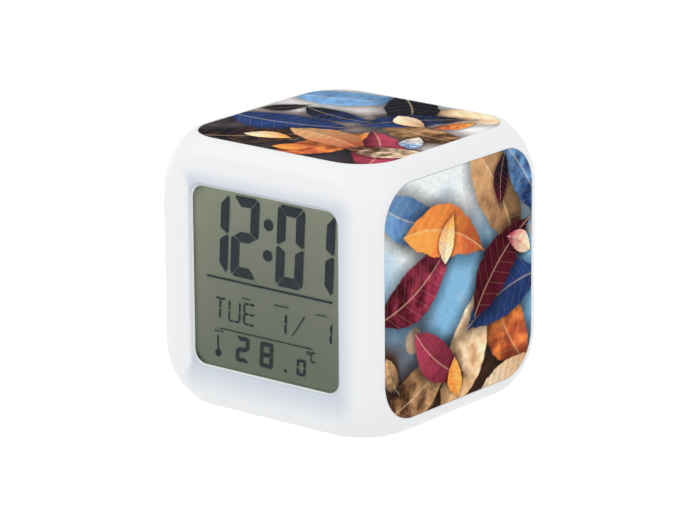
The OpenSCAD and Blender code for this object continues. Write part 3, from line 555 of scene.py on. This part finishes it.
do = maths(leaf)
own_place = leaf.nodes.new("ShaderNodeMapping")
own_place.vector_type = "TEXTURE"
for socket, slot in (("Place", "Vector"), ("Foot", "Location"), ("Turn", "Rotation"), ("Size", "Scale")):
    leaf.links.new(leaf_in.outputs[socket], own_place.inputs[slot])
along, own_y, _ = axes_of(leaf, own_place.outputs["Vector"])
mottle = do("SUBTRACT", noise_on(leaf, own_place.outputs["Vector"], 7, 6), 0.5)
swell = do("MULTIPLY", along, do("SUBTRACT", 1.0, along))
across = do("MULTIPLY_ADD", swell, leaf_in.outputs["Bend"], own_y)
aside = do("ABSOLUTE", across)
taper = do("MAXIMUM", do("MULTIPLY_ADD", along, -0.5, 1.25), 0.1)
half_width = do("MULTIPLY", do("MULTIPLY", do("MULTIPLY", swell, 4.0), taper), leaf_in.outputs["Width"])
half_width = do("MULTIPLY_ADD", mottle, 0.07, half_width)
past_edge = do("SUBTRACT", aside, half_width)
leaf_mask = do("MULTIPLY_ADD", past_edge, -70.0, 0.5, clamp=True)
leaf_shadow = do("MULTIPLY", do("MULTIPLY_ADD", past_edge, -8.0, 1.0, clamp=True), 0.55)
side_rib = do("PINGPONG", do("MULTIPLY", do("MULTIPLY_ADD", aside, -0.6, along), 20.0), 1.0)
rib_line = do("MULTIPLY", do("MULTIPLY_ADD", side_rib, -7.0, 1.0, clamp=True), 0.12)
middle_rib = do("MULTIPLY", do("MULTIPLY_ADD", aside, -85.0, 1.0, clamp=True), 0.40)
shade = do("MULTIPLY_ADD", side_rib, 0.16, do("MULTIPLY_ADD", mottle, 1.1, 0.80))
shade = do("SUBTRACT", shade, do("MULTIPLY", do("GREATER_THAN", across, 0.0), 0.20))
shade = do("MULTIPLY_ADD", swell, 0.6, shade)
blush = do("MULTIPLY_ADD", mottle, 2.2, do("MULTIPLY_ADD", along, 1.3, -0.25), clamp=True)
leaf_colour = blend_colours(leaf, blush, leaf_in.outputs["Colour"], leaf_in.outputs["Tip"])
leaf_colour = blend_colours(leaf, 1.0, leaf_colour, grey(leaf, shade), "MULTIPLY")
leaf_colour = blend_colours(leaf, do("MAXIMUM", rib_line, middle_rib), leaf_colour, (0.80, 0.62, 0.40))
shaded_ground = blend_colours(leaf, leaf_shadow, leaf_in.outputs["Under"], (0.01, 0.008, 0.01))
leaf.links.new(blend_colours(leaf, leaf_mask, shaded_ground, leaf_colour), leaf_out.inputs["Colour"])

ground, ground_in, ground_out = effect(
    "print_ground",
    [("Low", "C", (0, 0, 0, 1)), ("Middle", "C", (0, 0, 0, 1)), ("High", "C", (0, 0, 0, 1)),
     ("Glint", "C", (1, 1, 1, 1)), ("Place", "V", (0, 0, 0)), ("Up", "F", 0)],
    [("Colour", "C")])
do = maths(ground)
clouds = noise_on(ground, ground_in.outputs["Place"], 1.3)
level = do("MULTIPLY_ADD", do("SUBTRACT", clouds, 0.5), 2.4, ground_in.outputs["Up"])
upper = do("MULTIPLY_ADD", level, 1.6, -0.2, clamp=True)
lower = do("MULTIPLY_ADD", level, -1.6, -0.2, clamp=True)
ground_colour = blend_colours(ground, upper, ground_in.outputs["Middle"], ground_in.outputs["High"])
ground_colour = blend_colours(ground, lower, ground_colour, ground_in.outputs["Low"])
glints = ground.nodes.new("ShaderNodeTexVoronoi")
glints.inputs["Scale"].default_value = 3.4
ground.links.new(ground_in.outputs["Place"], glints.inputs["Vector"])
glint_size = ground.nodes.new("ShaderNodeSeparateColor")
ground.links.new(glints.outputs["Color"], glint_size.inputs[0])
glint_mask = do("MULTIPLY_ADD", do("SUBTRACT", do("MULTIPLY", glint_size.outputs[0], 0.42),
                                   glints.outputs["Distance"]), 14.0, 0.5, clamp=True)
ground_colour = blend_colours(ground, do("MULTIPLY", glint_mask, do("MULTIPLY", glint_size.outputs[1], 0.55)),
                              ground_colour, ground_in.outputs["Glint"])
ground.links.new(ground_colour, ground_out.inputs["Colour"])


def printed_panel(name, face, low, middle, high, glint, leaves):
    """A print, with places in half panel widths from the middle: a blurred ground, then leaves from the back
    to the front, each a foot, a turn in degrees, a length, a width, a bend, its colour and its tip's."""
    material, tree, shader = new_finish(name, (0.5, 0.5, 0.5), 0.42, Specular_IOR_Level=0.002)
    axes = axes_of(tree, object_place(tree))
    axis_across, sign, axis_up, centre = {
        "top": (0, 1, 1, 0.0), "right": (1, 1, 2, mid_z),
        "rear": (0, -1, 2, mid_z), "left": (1, -1, 2, mid_z)}[face]
    up = sum_node(tree, "DIVIDE", sum_node(tree, "SUBTRACT", axes[axis_up], centre), panel_half)
    flat = tree.nodes.new("ShaderNodeCombineXYZ")
    tree.links.new(sum_node(tree, "MULTIPLY", axes[axis_across], sign / panel_half), flat.inputs[0])
    tree.links.new(up, flat.inputs[1])
    place = flat.outputs[0]
    picture = effect_on(tree, ground, Low=low, Middle=middle, High=high, Glint=glint, Place=place,
                        Up=up).outputs["Colour"]
    for x, y, turn, size, width, bend, colour, tip in leaves:
        picture = effect_on(tree, leaf, Under=picture, Colour=colour, Tip=tip, Place=place, Foot=(x, y, 0),
                            Turn=(0, 0, math.radians(turn)), Size=(size, size, 1), Width=width,
                            Bend=bend).outputs["Colour"]
    grain_share, gain = 0.8, 1.30
    level = sum_node(tree, "MULTIPLY_ADD", noise_on(tree, place, 26, 4), grain_share, gain)
    deepened = tree.nodes.new("ShaderNodeGamma")
    deepened.inputs["Gamma"].default_value = 1.3
    tree.links.new(picture, deepened.inputs["Color"])
    muted = tree.nodes.new("ShaderNodeHueSaturation")
    muted.inputs["Saturation"].default_value = 0.94
    tree.links.new(deepened.outputs[0], muted.inputs["Color"])
    printed = blend_colours(tree, 1.0, muted.outputs[0], grey(tree, level), "MULTIPLY")
    printed.node.clamp_result = True
    tree.links.new(printed, shader.inputs["Base Color"])
    tree.links.new(eased_normal(tree, 0.00015), shader.inputs["Normal"])
    return material


wine, rose, denim, sky = (0.100, 0.010, 0.025), (0.38, 0.045, 0.10), (0.025, 0.065, 0.19), (0.17, 0.33, 0.52)
amber, rust, straw, cream = (0.85, 0.33, 0.02), (0.42, 0.09, 0.02), (0.55, 0.34, 0.17), (0.80, 0.64, 0.46)
brown, soot, moss, fern = (0.12, 0.055, 0.028), (0.020, 0.020, 0.030), (0.10, 0.16, 0.04), (0.16, 0.22, 0.06)
dress("right_panel", printed_panel(
    "autumn_print", "right", (0.10, 0.055, 0.035), (0.21, 0.40, 0.55), (0.62, 0.64, 0.64),
    (0.75, 0.45, 0.22), [
        (-1.15, 0.95, -22, 1.10, 0.17, 0.3, sky, denim), (0.15, 1.15, -60, 1.30, 0.20, -0.3, straw, brown),
        (1.15, 0.35, 128, 0.95, 0.19, 0.2, denim, sky), (-1.10, -0.10, 28, 1.15, 0.20, 0.4, wine, rose),
        (0.95, -0.95, 118, 1.25, 0.20, -0.3, rust, amber), (-0.25, -1.10, 62, 1.20, 0.21, 0.3, straw, cream),
        (-0.75, 0.55, -18, 1.15, 0.19, -0.4, amber, rust), (1.10, -0.15, 196, 1.05, 0.22, 0.3, denim, denim),
        (-1.05, -0.95, 24, 1.05, 0.20, 0.3, brown, straw), (0.20, -0.35, 42, 1.05, 0.20, -0.3, wine, wine),
        (0.25, -1.05, 12, 0.90, 0.21, 0.3, cream, straw), (-0.60, -0.30, -38, 0.85, 0.20, 0.3, rose, wine),
        (-0.20, 0.20, 74, 0.42, 0.24, -0.3, cream, amber), (-0.98, -0.42, -64, 0.40, 0.22, 0.3, straw, soot),
        (0.62, 0.98, -96, 0.46, 0.21, 0.3, soot, wine), (-0.02, -0.98, 98, 0.36, 0.26, -0.3, amber, amber),
        (0.98, 0.06, 150, 0.38, 0.24, 0.3, cream, rose)]))
dress("top_panel", printed_panel(
    "harvest_print", "top", (0.07, 0.06, 0.07), (0.36, 0.31, 0.29), (0.70, 0.70, 0.70), (0.72, 0.66, 0.60), [
        (-1.15, 0.60, 20, 1.15, 0.20, 0.3, sky, sky), (1.10, 0.95, 205, 1.20, 0.19, 0.3, cream, straw),
        (-0.30, 1.10, -52, 1.15, 0.20, -0.3, soot, soot), (-1.10, -0.25, 10, 1.20, 0.21, 0.3, denim, denim),
        (1.15, 0.10, 168, 1.10, 0.19, -0.3, brown, straw), (-0.95, -1.05, 40, 1.20, 0.20, 0.3, soot, brown),
        (0.95, -1.00, 125, 1.20, 0.18, 0.3, rose, rose), (0.05, 0.05, 48, 0.95, 0.21, -0.3, denim, soot),
        (0.05, -1.10, 78, 1.05, 0.20, 0.3, rust, amber), (-0.35, -0.35, -14, 1.00, 0.19, -0.3, straw, rust),
        (-0.70, 0.30, -8, 0.80, 0.19, 0.3, soot, denim), (0.45, -0.60, 22, 0.75, 0.21, 0.3, brown, cream),
        (-0.98, 0.02, 52, 0.42, 0.24, 0.3, soot, soot), (-0.55, -0.72, 14, 0.44, 0.22, -0.3, cream, amber),
        (0.12, 0.52, -24, 0.46, 0.24, 0.3, cream, straw), (0.62, 0.34, 66, 0.40, 0.22, 0.3, rust, amber),
        (0.88, -0.30, 118, 0.40, 0.25, -0.3, sky, cream), (-0.10, -0.90, 36, 0.40, 0.24, 0.3, amber, rust)]))
dress("rear_panel", printed_panel(
    "meadow_print", "rear", (0.06, 0.07, 0.03), (0.30, 0.40, 0.34), (0.66, 0.68, 0.62), (0.80, 0.72, 0.40), [
        (-1.10, 0.70, -12, 1.20, 0.20, 0.3, straw, amber), (1.10, 0.80, 200, 1.10, 0.19, -0.3, rust, brown),
        (-1.05, -0.40, 22, 1.25, 0.20, 0.3, moss, straw),
        (1.10, -0.30, 160, 1.20, 0.21, 0.3, denim, sky), (0.10, 1.10, -82, 1.15, 0.20, -0.3, amber, straw),
        (-0.20, -1.10, 70, 1.15, 0.20, 0.3, wine, rust), (0.95, -1.00, 130, 0.95, 0.20, 0.3, cream, straw),
        (-0.95, -1.00, 42, 0.90, 0.21, -0.3, brown, fern),
        (0.60, 0.28, 176, 1.05, 0.19, -0.3, straw, brown), (-0.48, 0.62, -72, 0.62, 0.22, 0.3, wine, rose),
        (0.20, -0.42, -28, 0.60, 0.21, 0.3, sky, cream), (-0.80, 0.10, -40, 0.45, 0.24, 0.3, cream, amber),
        (0.42, 0.92, -58, 0.50, 0.22, -0.3, fern, straw), (-0.30, -0.62, 8, 0.42, 0.25, 0.3, amber, rust)]))
dress("left_panel", printed_panel(
    "evening_print", "left", (0.05, 0.03, 0.05), (0.40, 0.20, 0.16), (0.70, 0.50, 0.38), (0.90, 0.62, 0.30), [
        (-1.10, 0.80, -24, 1.15, 0.20, 0.3, denim, sky), (1.10, 0.60, 188, 1.20, 0.20, -0.3, amber, rust),
        (-1.10, -0.20, 8, 1.15, 0.19, 0.3, straw, cream), (0.20, 1.10, -100, 1.10, 0.20, 0.3, wine, rose),
        (1.05, -0.55, 150, 1.15, 0.21, 0.3, brown, rust), (-0.60, -1.10, 58, 1.20, 0.20, -0.3, rose, wine),
        (0.55, -1.10, 100, 0.90, 0.20, 0.3, amber, straw), (-0.30, 0.30, -30, 0.85, 0.20, 0.3, denim, soot),
        (-0.95, 0.30, -14, 0.70, 0.21, -0.3, rose, wine), (0.30, 0.62, 24, 0.66, 0.21, 0.3, straw, brown),
        (-0.15, -0.50, -8, 0.75, 0.20, 0.3, brown, cream), (0.92, 0.10, 205, 0.48, 0.23, 0.3, sky, denim),
        (-0.72, -0.46, -56, 0.46, 0.24, -0.3, amber, straw), (0.10, 0.12, 84, 0.44, 0.23, 0.3, cream, rust)]))
foam_tape = moulded("foam_tape", (0.80, 0.80, 0.78), 0.85, peel_size=0.0002, clouds=0.1, bump=0.4, edge=0)
for face in ("top", "right", "rear", "left"):
    dress(face + "_pad", foam_tape)

# Display. Two sheets of glass with the lit pieces between them, a greenish polarising film in front and
# a pearly reflector behind, on which the lit pieces throw a faint shadow. Pressed against the window's lip.


def clear_sheet(name, colour, roughness, alpha, specular=0.5):
    material, tree, shader = new_finish(name, colour, roughness, Alpha=alpha)
    shader.inputs["Specular IOR Level"].default_value = specular
    film = noise_on(tree, object_place(tree), 160)
    tree.links.new(sum_node(tree, "MULTIPLY_ADD", film, 0.06, roughness - 0.03), shader.inputs["Roughness"])
    return material


def stepped_sheet(name, steps, back, *materials):
    """A closed sheet facing the front: steps are (lowest corner, highest corner, y) frames from its face to
    its rim, and back is its back's y. The first material is on its face and rim, the second on its back."""
    sheet = bmesh.new()
    rings = [[sheet.verts.new((x, y, z)) for x, z in
              ((low.x, low.z), (high.x, low.z), (high.x, high.z), (low.x, high.z))]
             for low, high, y in (*steps, (*steps[-1][:2], back))]
    sheet.faces.new(rings[0])
    for a, b in zip(rings, rings[1:]):
        ring_of(sheet, a, b)
    sheet.faces.new(rings[-1][::-1]).material_index = 1
    return new_piece(name, finished_mesh(name, sheet), *materials)


display_glass = clear_sheet("display_glass", (0.30, 0.36, 0.33), 0.06, 0.015)
film_box, front_box, rear_box = (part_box(n) for n in ("lcd_polariser", "lcd_front_glass", "lcd_rear_glass"))
display_front = stepped_sheet(
    "display_front", [(*film_box, film_box[0].y), (*film_box, film_box[1].y), (*front_box, front_box[0].y)],
    front_box[1].y, clear_sheet("polarising_film", (0.012, 0.016, 0.013), 0.40, 0.16, 0.12), display_glass)
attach(display_front, "case")
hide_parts("lcd_polariser", "lcd_front_glass")
lit_ink = moulded("lit_ink", (0.010, 0.020, 0.028), 0.5, peel_size=0.0001, clouds=0.1, bump=0.1, edge=0,
                  Specular_IOR_Level=0.28)
dress("lcd_segments", lit_ink)
dress("lcd_seal", moulded("seal_epoxy", (0.20, 0.22, 0.20), 0.5, edge=0))


def pearl_and_painted_light(tree, place):
    """The reflector is a little lighter towards its upper left corner, and painted lighter towards its
    corners to make up for the shade there, with fine pearly specks.
    """
    x, _, z = axes_of(tree, place)
    height = sum_node(tree, "SUBTRACT", z, mid_z)
    slope = sum_node(tree, "MULTIPLY_ADD", x, -2.0, sum_node(tree, "MULTIPLY_ADD", height, 13.0, 0.44))
    # Painted light: lighter towards the corners, making up for the shade that the window's edges cast there
    corners = sum_node(tree, "MULTIPLY_ADD", sum_node(tree, "MULTIPLY", x, x), 190.0,
                       sum_node(tree, "MULTIPLY", sum_node(tree, "MULTIPLY", height, height), 100.0))
    slope = sum_node(tree, "ADD", slope, corners, clamp=True)
    film_tone_with_painted_light = blend_colours(tree, slope, (0.122, 0.143, 0.101), (0.327, 0.352, 0.259))
    # Towards the window's edges it is lighter, which makes up for the shadow of the lip
    furthest = sum_node(tree, "MAXIMUM", sum_node(tree, "ABSOLUTE", x), sum_node(tree, "ABSOLUTE", height))
    inside = sum_node(tree, "MULTIPLY_ADD", furthest, -1 / MM, window_half)
    reach = sum_node(tree, "SQRT", sum_node(tree, "MULTIPLY_ADD", inside, inside, 3.0))
    lit_share = sum_node(tree, "MULTIPLY_ADD", sum_node(tree, "DIVIDE", inside, reach), 0.5, 0.5)
    lift = sum_node(tree, "DIVIDE", 1.0, sum_node(tree, "MAXIMUM", lit_share, 0.35))
    lifted = tree.nodes.new("ShaderNodeVectorMath")
    lifted.operation = "SCALE"
    tree.links.new(film_tone_with_painted_light, lifted.inputs[0])
    tree.links.new(lift, lifted.inputs["Scale"])
    return lifted.outputs[0]


pearly_film_painted_light = moulded("pearly_film_painted_light", (0.35, 0.39, 0.30), 0.55, peel_size=0.00012, clouds=0.12, bump=0.15,
                      edge=0, tint=pearl_and_painted_light)
dress("lcd_reflector", pearly_film_painted_light)
film_thickness = 0.00012
display_rear = stepped_sheet("display_rear", [(*rear_box, rear_box[0].y)], rear_box[0].y + film_thickness,
                             display_glass, pearly_film_painted_light)
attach(display_rear, "case")
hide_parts("lcd_rear_glass")
dress("lcd_diffuser", moulded("frosted_sheet", (0.9, 0.9, 0.9), 0.7, edge=0))
white_moulding = moulded("white_moulding", (0.86, 0.87, 0.885), 0.45)
dress("lcd_holder", white_moulding)
dress("contact_strip", moulded("striped_rubber", (0.10, 0.10, 0.11), 0.6, edge=0))

# Small signs on the display. Weekday in thin bars, rows of short dashes, and a degree ring with its
# letter: more lit pieces in the same gap between the glasses as the digits.
signs = bmesh.new()
sign_front, sign_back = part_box("lcd_segments")[0].y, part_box("lcd_segments")[1].y


def sign_plate(outline):
    """A thin plate from an outline of (x, z) in millimetres from the middle of the window."""
    front, back = ([signs.verts.new((MM * x, y, mid_z + MM * z)) for x, z in outline]
                   for y in (sign_front, sign_back))
    signs.faces.new(front)
    signs.faces.new(back[::-1])
    ring_of(signs, front, back)


def sign_bar(x0, z0, x1, z1, width=0.62, gap=0.12):
    """A straight bar with pointed ends between two places."""
    run = Vector((x1 - x0, z1 - z0))
    along = run.normalized()
    across = Vector((-along.y, along.x)) * width / 2
    start, end = Vector((x0, z0)) + gap * along, Vector((x1, z1)) - gap * along
    tip = 0.45 * width * along
    sign_plate([start, start + tip - across, end - tip - across,
                end, end - tip + across, start + tip + across])


def lean_of(z):
    """How far the weekday's bars lean to the right at a height."""
    return 0.06 * (z + 12.4)


low, middle, high = -12.3, -9.25, -6.2
for left, right, bars in ((-19.9, -16.2, "a|"), (-14.6, -10.75, "cfebd"), (-9.1, -5.2, "afegd")):
    upright = (left + right) / 2
    for bar in bars:
        (ax, az), (bx, bz) = {
            "a": ((left, high), (right, high)), "d": ((left, low), (right, low)),
            "g": ((left, middle), (right, middle)), "f": ((left, middle), (left, high)),
            "e": ((left, low), (left, middle)), "b": ((right, middle), (right, high)),
            "c": ((right, low), (right, middle)), "|": ((upright, low), (upright, high))}[bar]
        if bar == "|":
            sign_bar(ax + lean_of(az), az, ax + lean_of(middle), middle)
            sign_bar(ax + lean_of(middle), middle, bx + lean_of(bz), bz)
        elif az == bz:
            half = (ax + bx) / 2
            sign_bar(ax + lean_of(az), az, half + lean_of(az), az)
            sign_bar(half + lean_of(az), az, bx + lean_of(az), az)
        else:
            sign_bar(ax + lean_of(az), az, bx + lean_of(bz), bz)
thin, dash_pitch, dash_share = 0.5, 1.1, 0.8
for x0, x1, z in ((-9.5, -6.5, -4.7), (2.3, 7.8, -4.6), (17.7, 21.7, -4.6), (-20.1, -16.5, -16.2)):
    count = round((x1 - x0) / dash_pitch)
    pitch = (x1 - x0) / count
    for k in range(count):
        sign_bar(x0 + k * pitch, z, x0 + (k + dash_share) * pitch, z, width=thin, gap=0.0)
ring_x, ring_z, ring_out, ring_in, ring_sides = 14.7, -16.5, 0.62, 0.34, 24
ring_points = [[signs.verts.new((MM * (ring_x + r * math.cos(a)), y, mid_z + MM * (ring_z + r * math.sin(a))))
                for a in (2 * math.pi * j / ring_sides for j in range(ring_sides))]
               for r, y in ((ring_out, sign_front), (ring_out, sign_back),
                            (ring_in, sign_back), (ring_in, sign_front))]
for a, b in zip(ring_points, ring_points[1:] + ring_points[:1]):
    ring_of(signs, a, b)
for ends in ((15.75, -16.3, 17.3, -16.3), (15.65, -16.3, 15.65, -17.7), (15.6, -17.7, 15.6, -19.0),
             (15.6, -19.05, 17.1, -19.05)):
    sign_bar(*ends, width=thin, gap=0.06)
display_signs = new_piece("display_signs", finished_mesh("display_signs", signs), lit_ink)
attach(display_signs, "case")

# Boards. Green glass-fibre boards with tinned pads, the chip under a poured black blob, a steel
# crystal can, a dipped bead and three milky lamps; steel pan-head screws hold them to their posts.


def woven_board(tree, place):
    weave = tree.nodes.new("ShaderNodeTexChecker")
    weave.inputs["Scale"].default_value = 1600
    tree.links.new(place, weave.inputs["Vector"])
    weave.inputs["Color1"].default_value = (0.012, 0.110, 0.040, 1)
    weave.inputs["Color2"].default_value = (0.016, 0.135, 0.050, 1)
    return weave.outputs["Color"]


board_green = moulded("board_green", (0.014, 0.12, 0.045), 0.35, bump=0.05, edge=0, tint=woven_board)
for name in ("main_board", "key_board", "control_board"):
    dress(name, board_green)


def drawn_metal(name, colour, roughness, edge=0.00015):
    """A plated or drawn metal with fine streaks in its gloss."""
    material, tree, shader = new_finish(name, colour, roughness, 1.0)
    streak_size = 0.0006
    stretch = tree.nodes.new("ShaderNodeMapping")
    stretch.inputs["Scale"].default_value = (1, 0.12, 1)
    tree.links.new(object_place(tree), stretch.inputs["Vector"])
    streaks = noise_on(tree, stretch.outputs["Vector"], 1 / streak_size, 4)
    tree.links.new(sum_node(tree, "MULTIPLY_ADD", streaks, 0.2, roughness - 0.1), shader.inputs["Roughness"])
    tree.links.new(blend_colours(tree, streaks, tuple(0.82 * c for c in colour), colour),
                   shader.inputs["Base Color"])
    if edge:
        tree.links.new(eased_normal(tree, edge), shader.inputs["Normal"])
    return material


zinc_steel = drawn_metal("zinc_steel", (0.62, 0.62, 0.60), 0.35)
for name in ("board_screws", "small_screws", "base_screws", "quartz_crystal", "slide_switch"):
    dress(name, zinc_steel)
dress("driver_chip", moulded("black_blob", (0.012, 0.012, 0.013), 0.25, peel_size=0.002, bump=0.2, edge=0))
dress("thermistor", moulded("dipped_bead", (0.22, 0.10, 0.035), 0.25, peel_size=0.001, edge=0))
dress("glow_lamps", moulded("milky_lamp", (0.85, 0.87, 0.90), 0.2, edge=0))

# Base plate and feet. A white moulding let into the housing's floor, with the battery bay moulded on;
# four countersunk steel screws, hidden by four grey rubber feet in their sinks.
dress("base_plate", white_moulding)
dress("rubber_feet", moulded("foot_rubber", (0.16, 0.16, 0.165), 0.75, peel_size=0.0003, clouds=0.1, bump=0.3,
                             edge=0.0003))

# Batteries. Three small round cells in printed sleeves, tinned spring-steel plates at both ends of the
# bay with tapering springs at the minus ends, and a door that turns on two pins and snaps shut.
cell_sleeve = moulded("cell_sleeve", (0.04, 0.045, 0.05), 0.3, peel_size=0.0005, edge=0)
cell_band = moulded("cell_band", (0.55, 0.36, 0.12), 0.3, peel_size=0.0005, edge=0)
cell_steel = drawn_metal("cell_steel", (0.70, 0.70, 0.68), 0.25, edge=0)
button_h = 0.0012
for name in ("cell_1", "cell_2", "cell_3"):
    low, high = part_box(name)
    turned_round = name == "cell_2"
    foot = Vector((high.x if turned_round else low.x, (low.y + high.y) / 2, (low.z + high.z) / 2))
    axis = (-1, 0, 0) if turned_round else (1, 0, 0)
    r, whole = (high.z - low.z) / 2, high.x - low.x
    body = whole - button_h
    cell = bmesh.new()
    sections = (
        (2, [(0, 0.00012), (0.80 * r, 0.00012), (0.84 * r, 0)]),
        (0, [(0.84 * r, 0), (0.92 * r, 0), (0.97 * r, 0.0001), (r, 0.0004), (r, 0.70 * body)]),
        (1, [(r, 0.70 * body), (r, body - 0.0008)]),
        (0, [(r, body - 0.0008), (0.97 * r, body - 0.0003), (0.90 * r, body - 0.00005), (0.84 * r, body)]),
        (2, [(0.84 * r, body), (0.80 * r, body - 0.0002), (0.0022, body - 0.0002), (0.0019, body + 0.0001),
             (0.0019, whole - 0.0002), (0.0017, whole), (0, whole)]))
    for material_index, profile in sections:
        turned(cell, profile, foot, axis, sides=48, material=material_index)
    sleeved = new_piece(name + "_sleeved", finished_mesh(name + "_sleeved", cell), cell_sleeve, cell_band,
                        cell_steel)
    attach(sleeved, "case")
    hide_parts(name)
contact_tin = drawn_metal("contact_tin", (0.66, 0.66, 0.64), 0.3)
for name in ("contact_minus", "contact_link_a", "contact_link_b", "contact_plus"):
    dress(name, contact_tin)
springs = bmesh.new()
low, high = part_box("contact_springs")
wire, spring_r, length, turns, taper = 0.0003, (high.z - low.z) / 2, 0.004, 3.5, 0.38
steps, sides = int(turns * 32), 10
for name in ("cell_1", "cell_2", "cell_3"):
    cell_middle = sum(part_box(name), Vector()) / 2
    # The middle spring sits on the other end wall
    foot_x, way = (high.x, -1) if name == "cell_2" else (low.x, 1)
    rings = []
    for i in range(steps + 1):
        share = i / steps
        radius = (spring_r - wire) * (1 - taper * share)
        turn = 2 * math.pi * turns * share * (-way)
        out = Vector((0, math.cos(turn), math.sin(turn)))
        reached = foot_x + way * (wire + (length - 2 * wire) * share)
        middle = Vector((reached, cell_middle.y, cell_middle.z)) + radius * out
        rings.append([springs.verts.new(middle + wire * (math.cos(a) * out + math.sin(a) * Vector((1, 0, 0))))
                      for a in (2 * math.pi * j / sides for j in range(sides))])
    for a, b in zip(rings, rings[1:]):
        ring_of(springs, a, b)
    springs.faces.new(rings[0])
    springs.faces.new(rings[-1][::-1])
coils = new_piece("spring_coils", finished_mesh("spring_coils", springs, 60), contact_tin)
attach(coils, "case")
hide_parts("contact_springs")
dress("battery_door", white_moulding)

# Keys and switches. Four round keys and the snooze foot press tact switches above them; the lamp
# switch slides; a buzzer sits behind its slots, and flat ribbons lead up to the main board.
key_plastic = moulded("key_plastic", (0.74, 0.76, 0.79), 0.4, edge=0.0003)
for name in ("mode_key", "set_key", "up_key", "down_key", "snooze_foot"):
    dress(name, key_plastic)
black_moulding = moulded("black_moulding", (0.02, 0.02, 0.022), 0.45)
for name in ("switch_knob", "tact_switches", "buzzer"):
    dress(name, black_moulding)
ribbon_film = moulded("ribbon_film", (0.55, 0.55, 0.56), 0.5, edge=0)
for name in ("key_ribbon", "control_ribbon"):
    dress(name, ribbon_film)
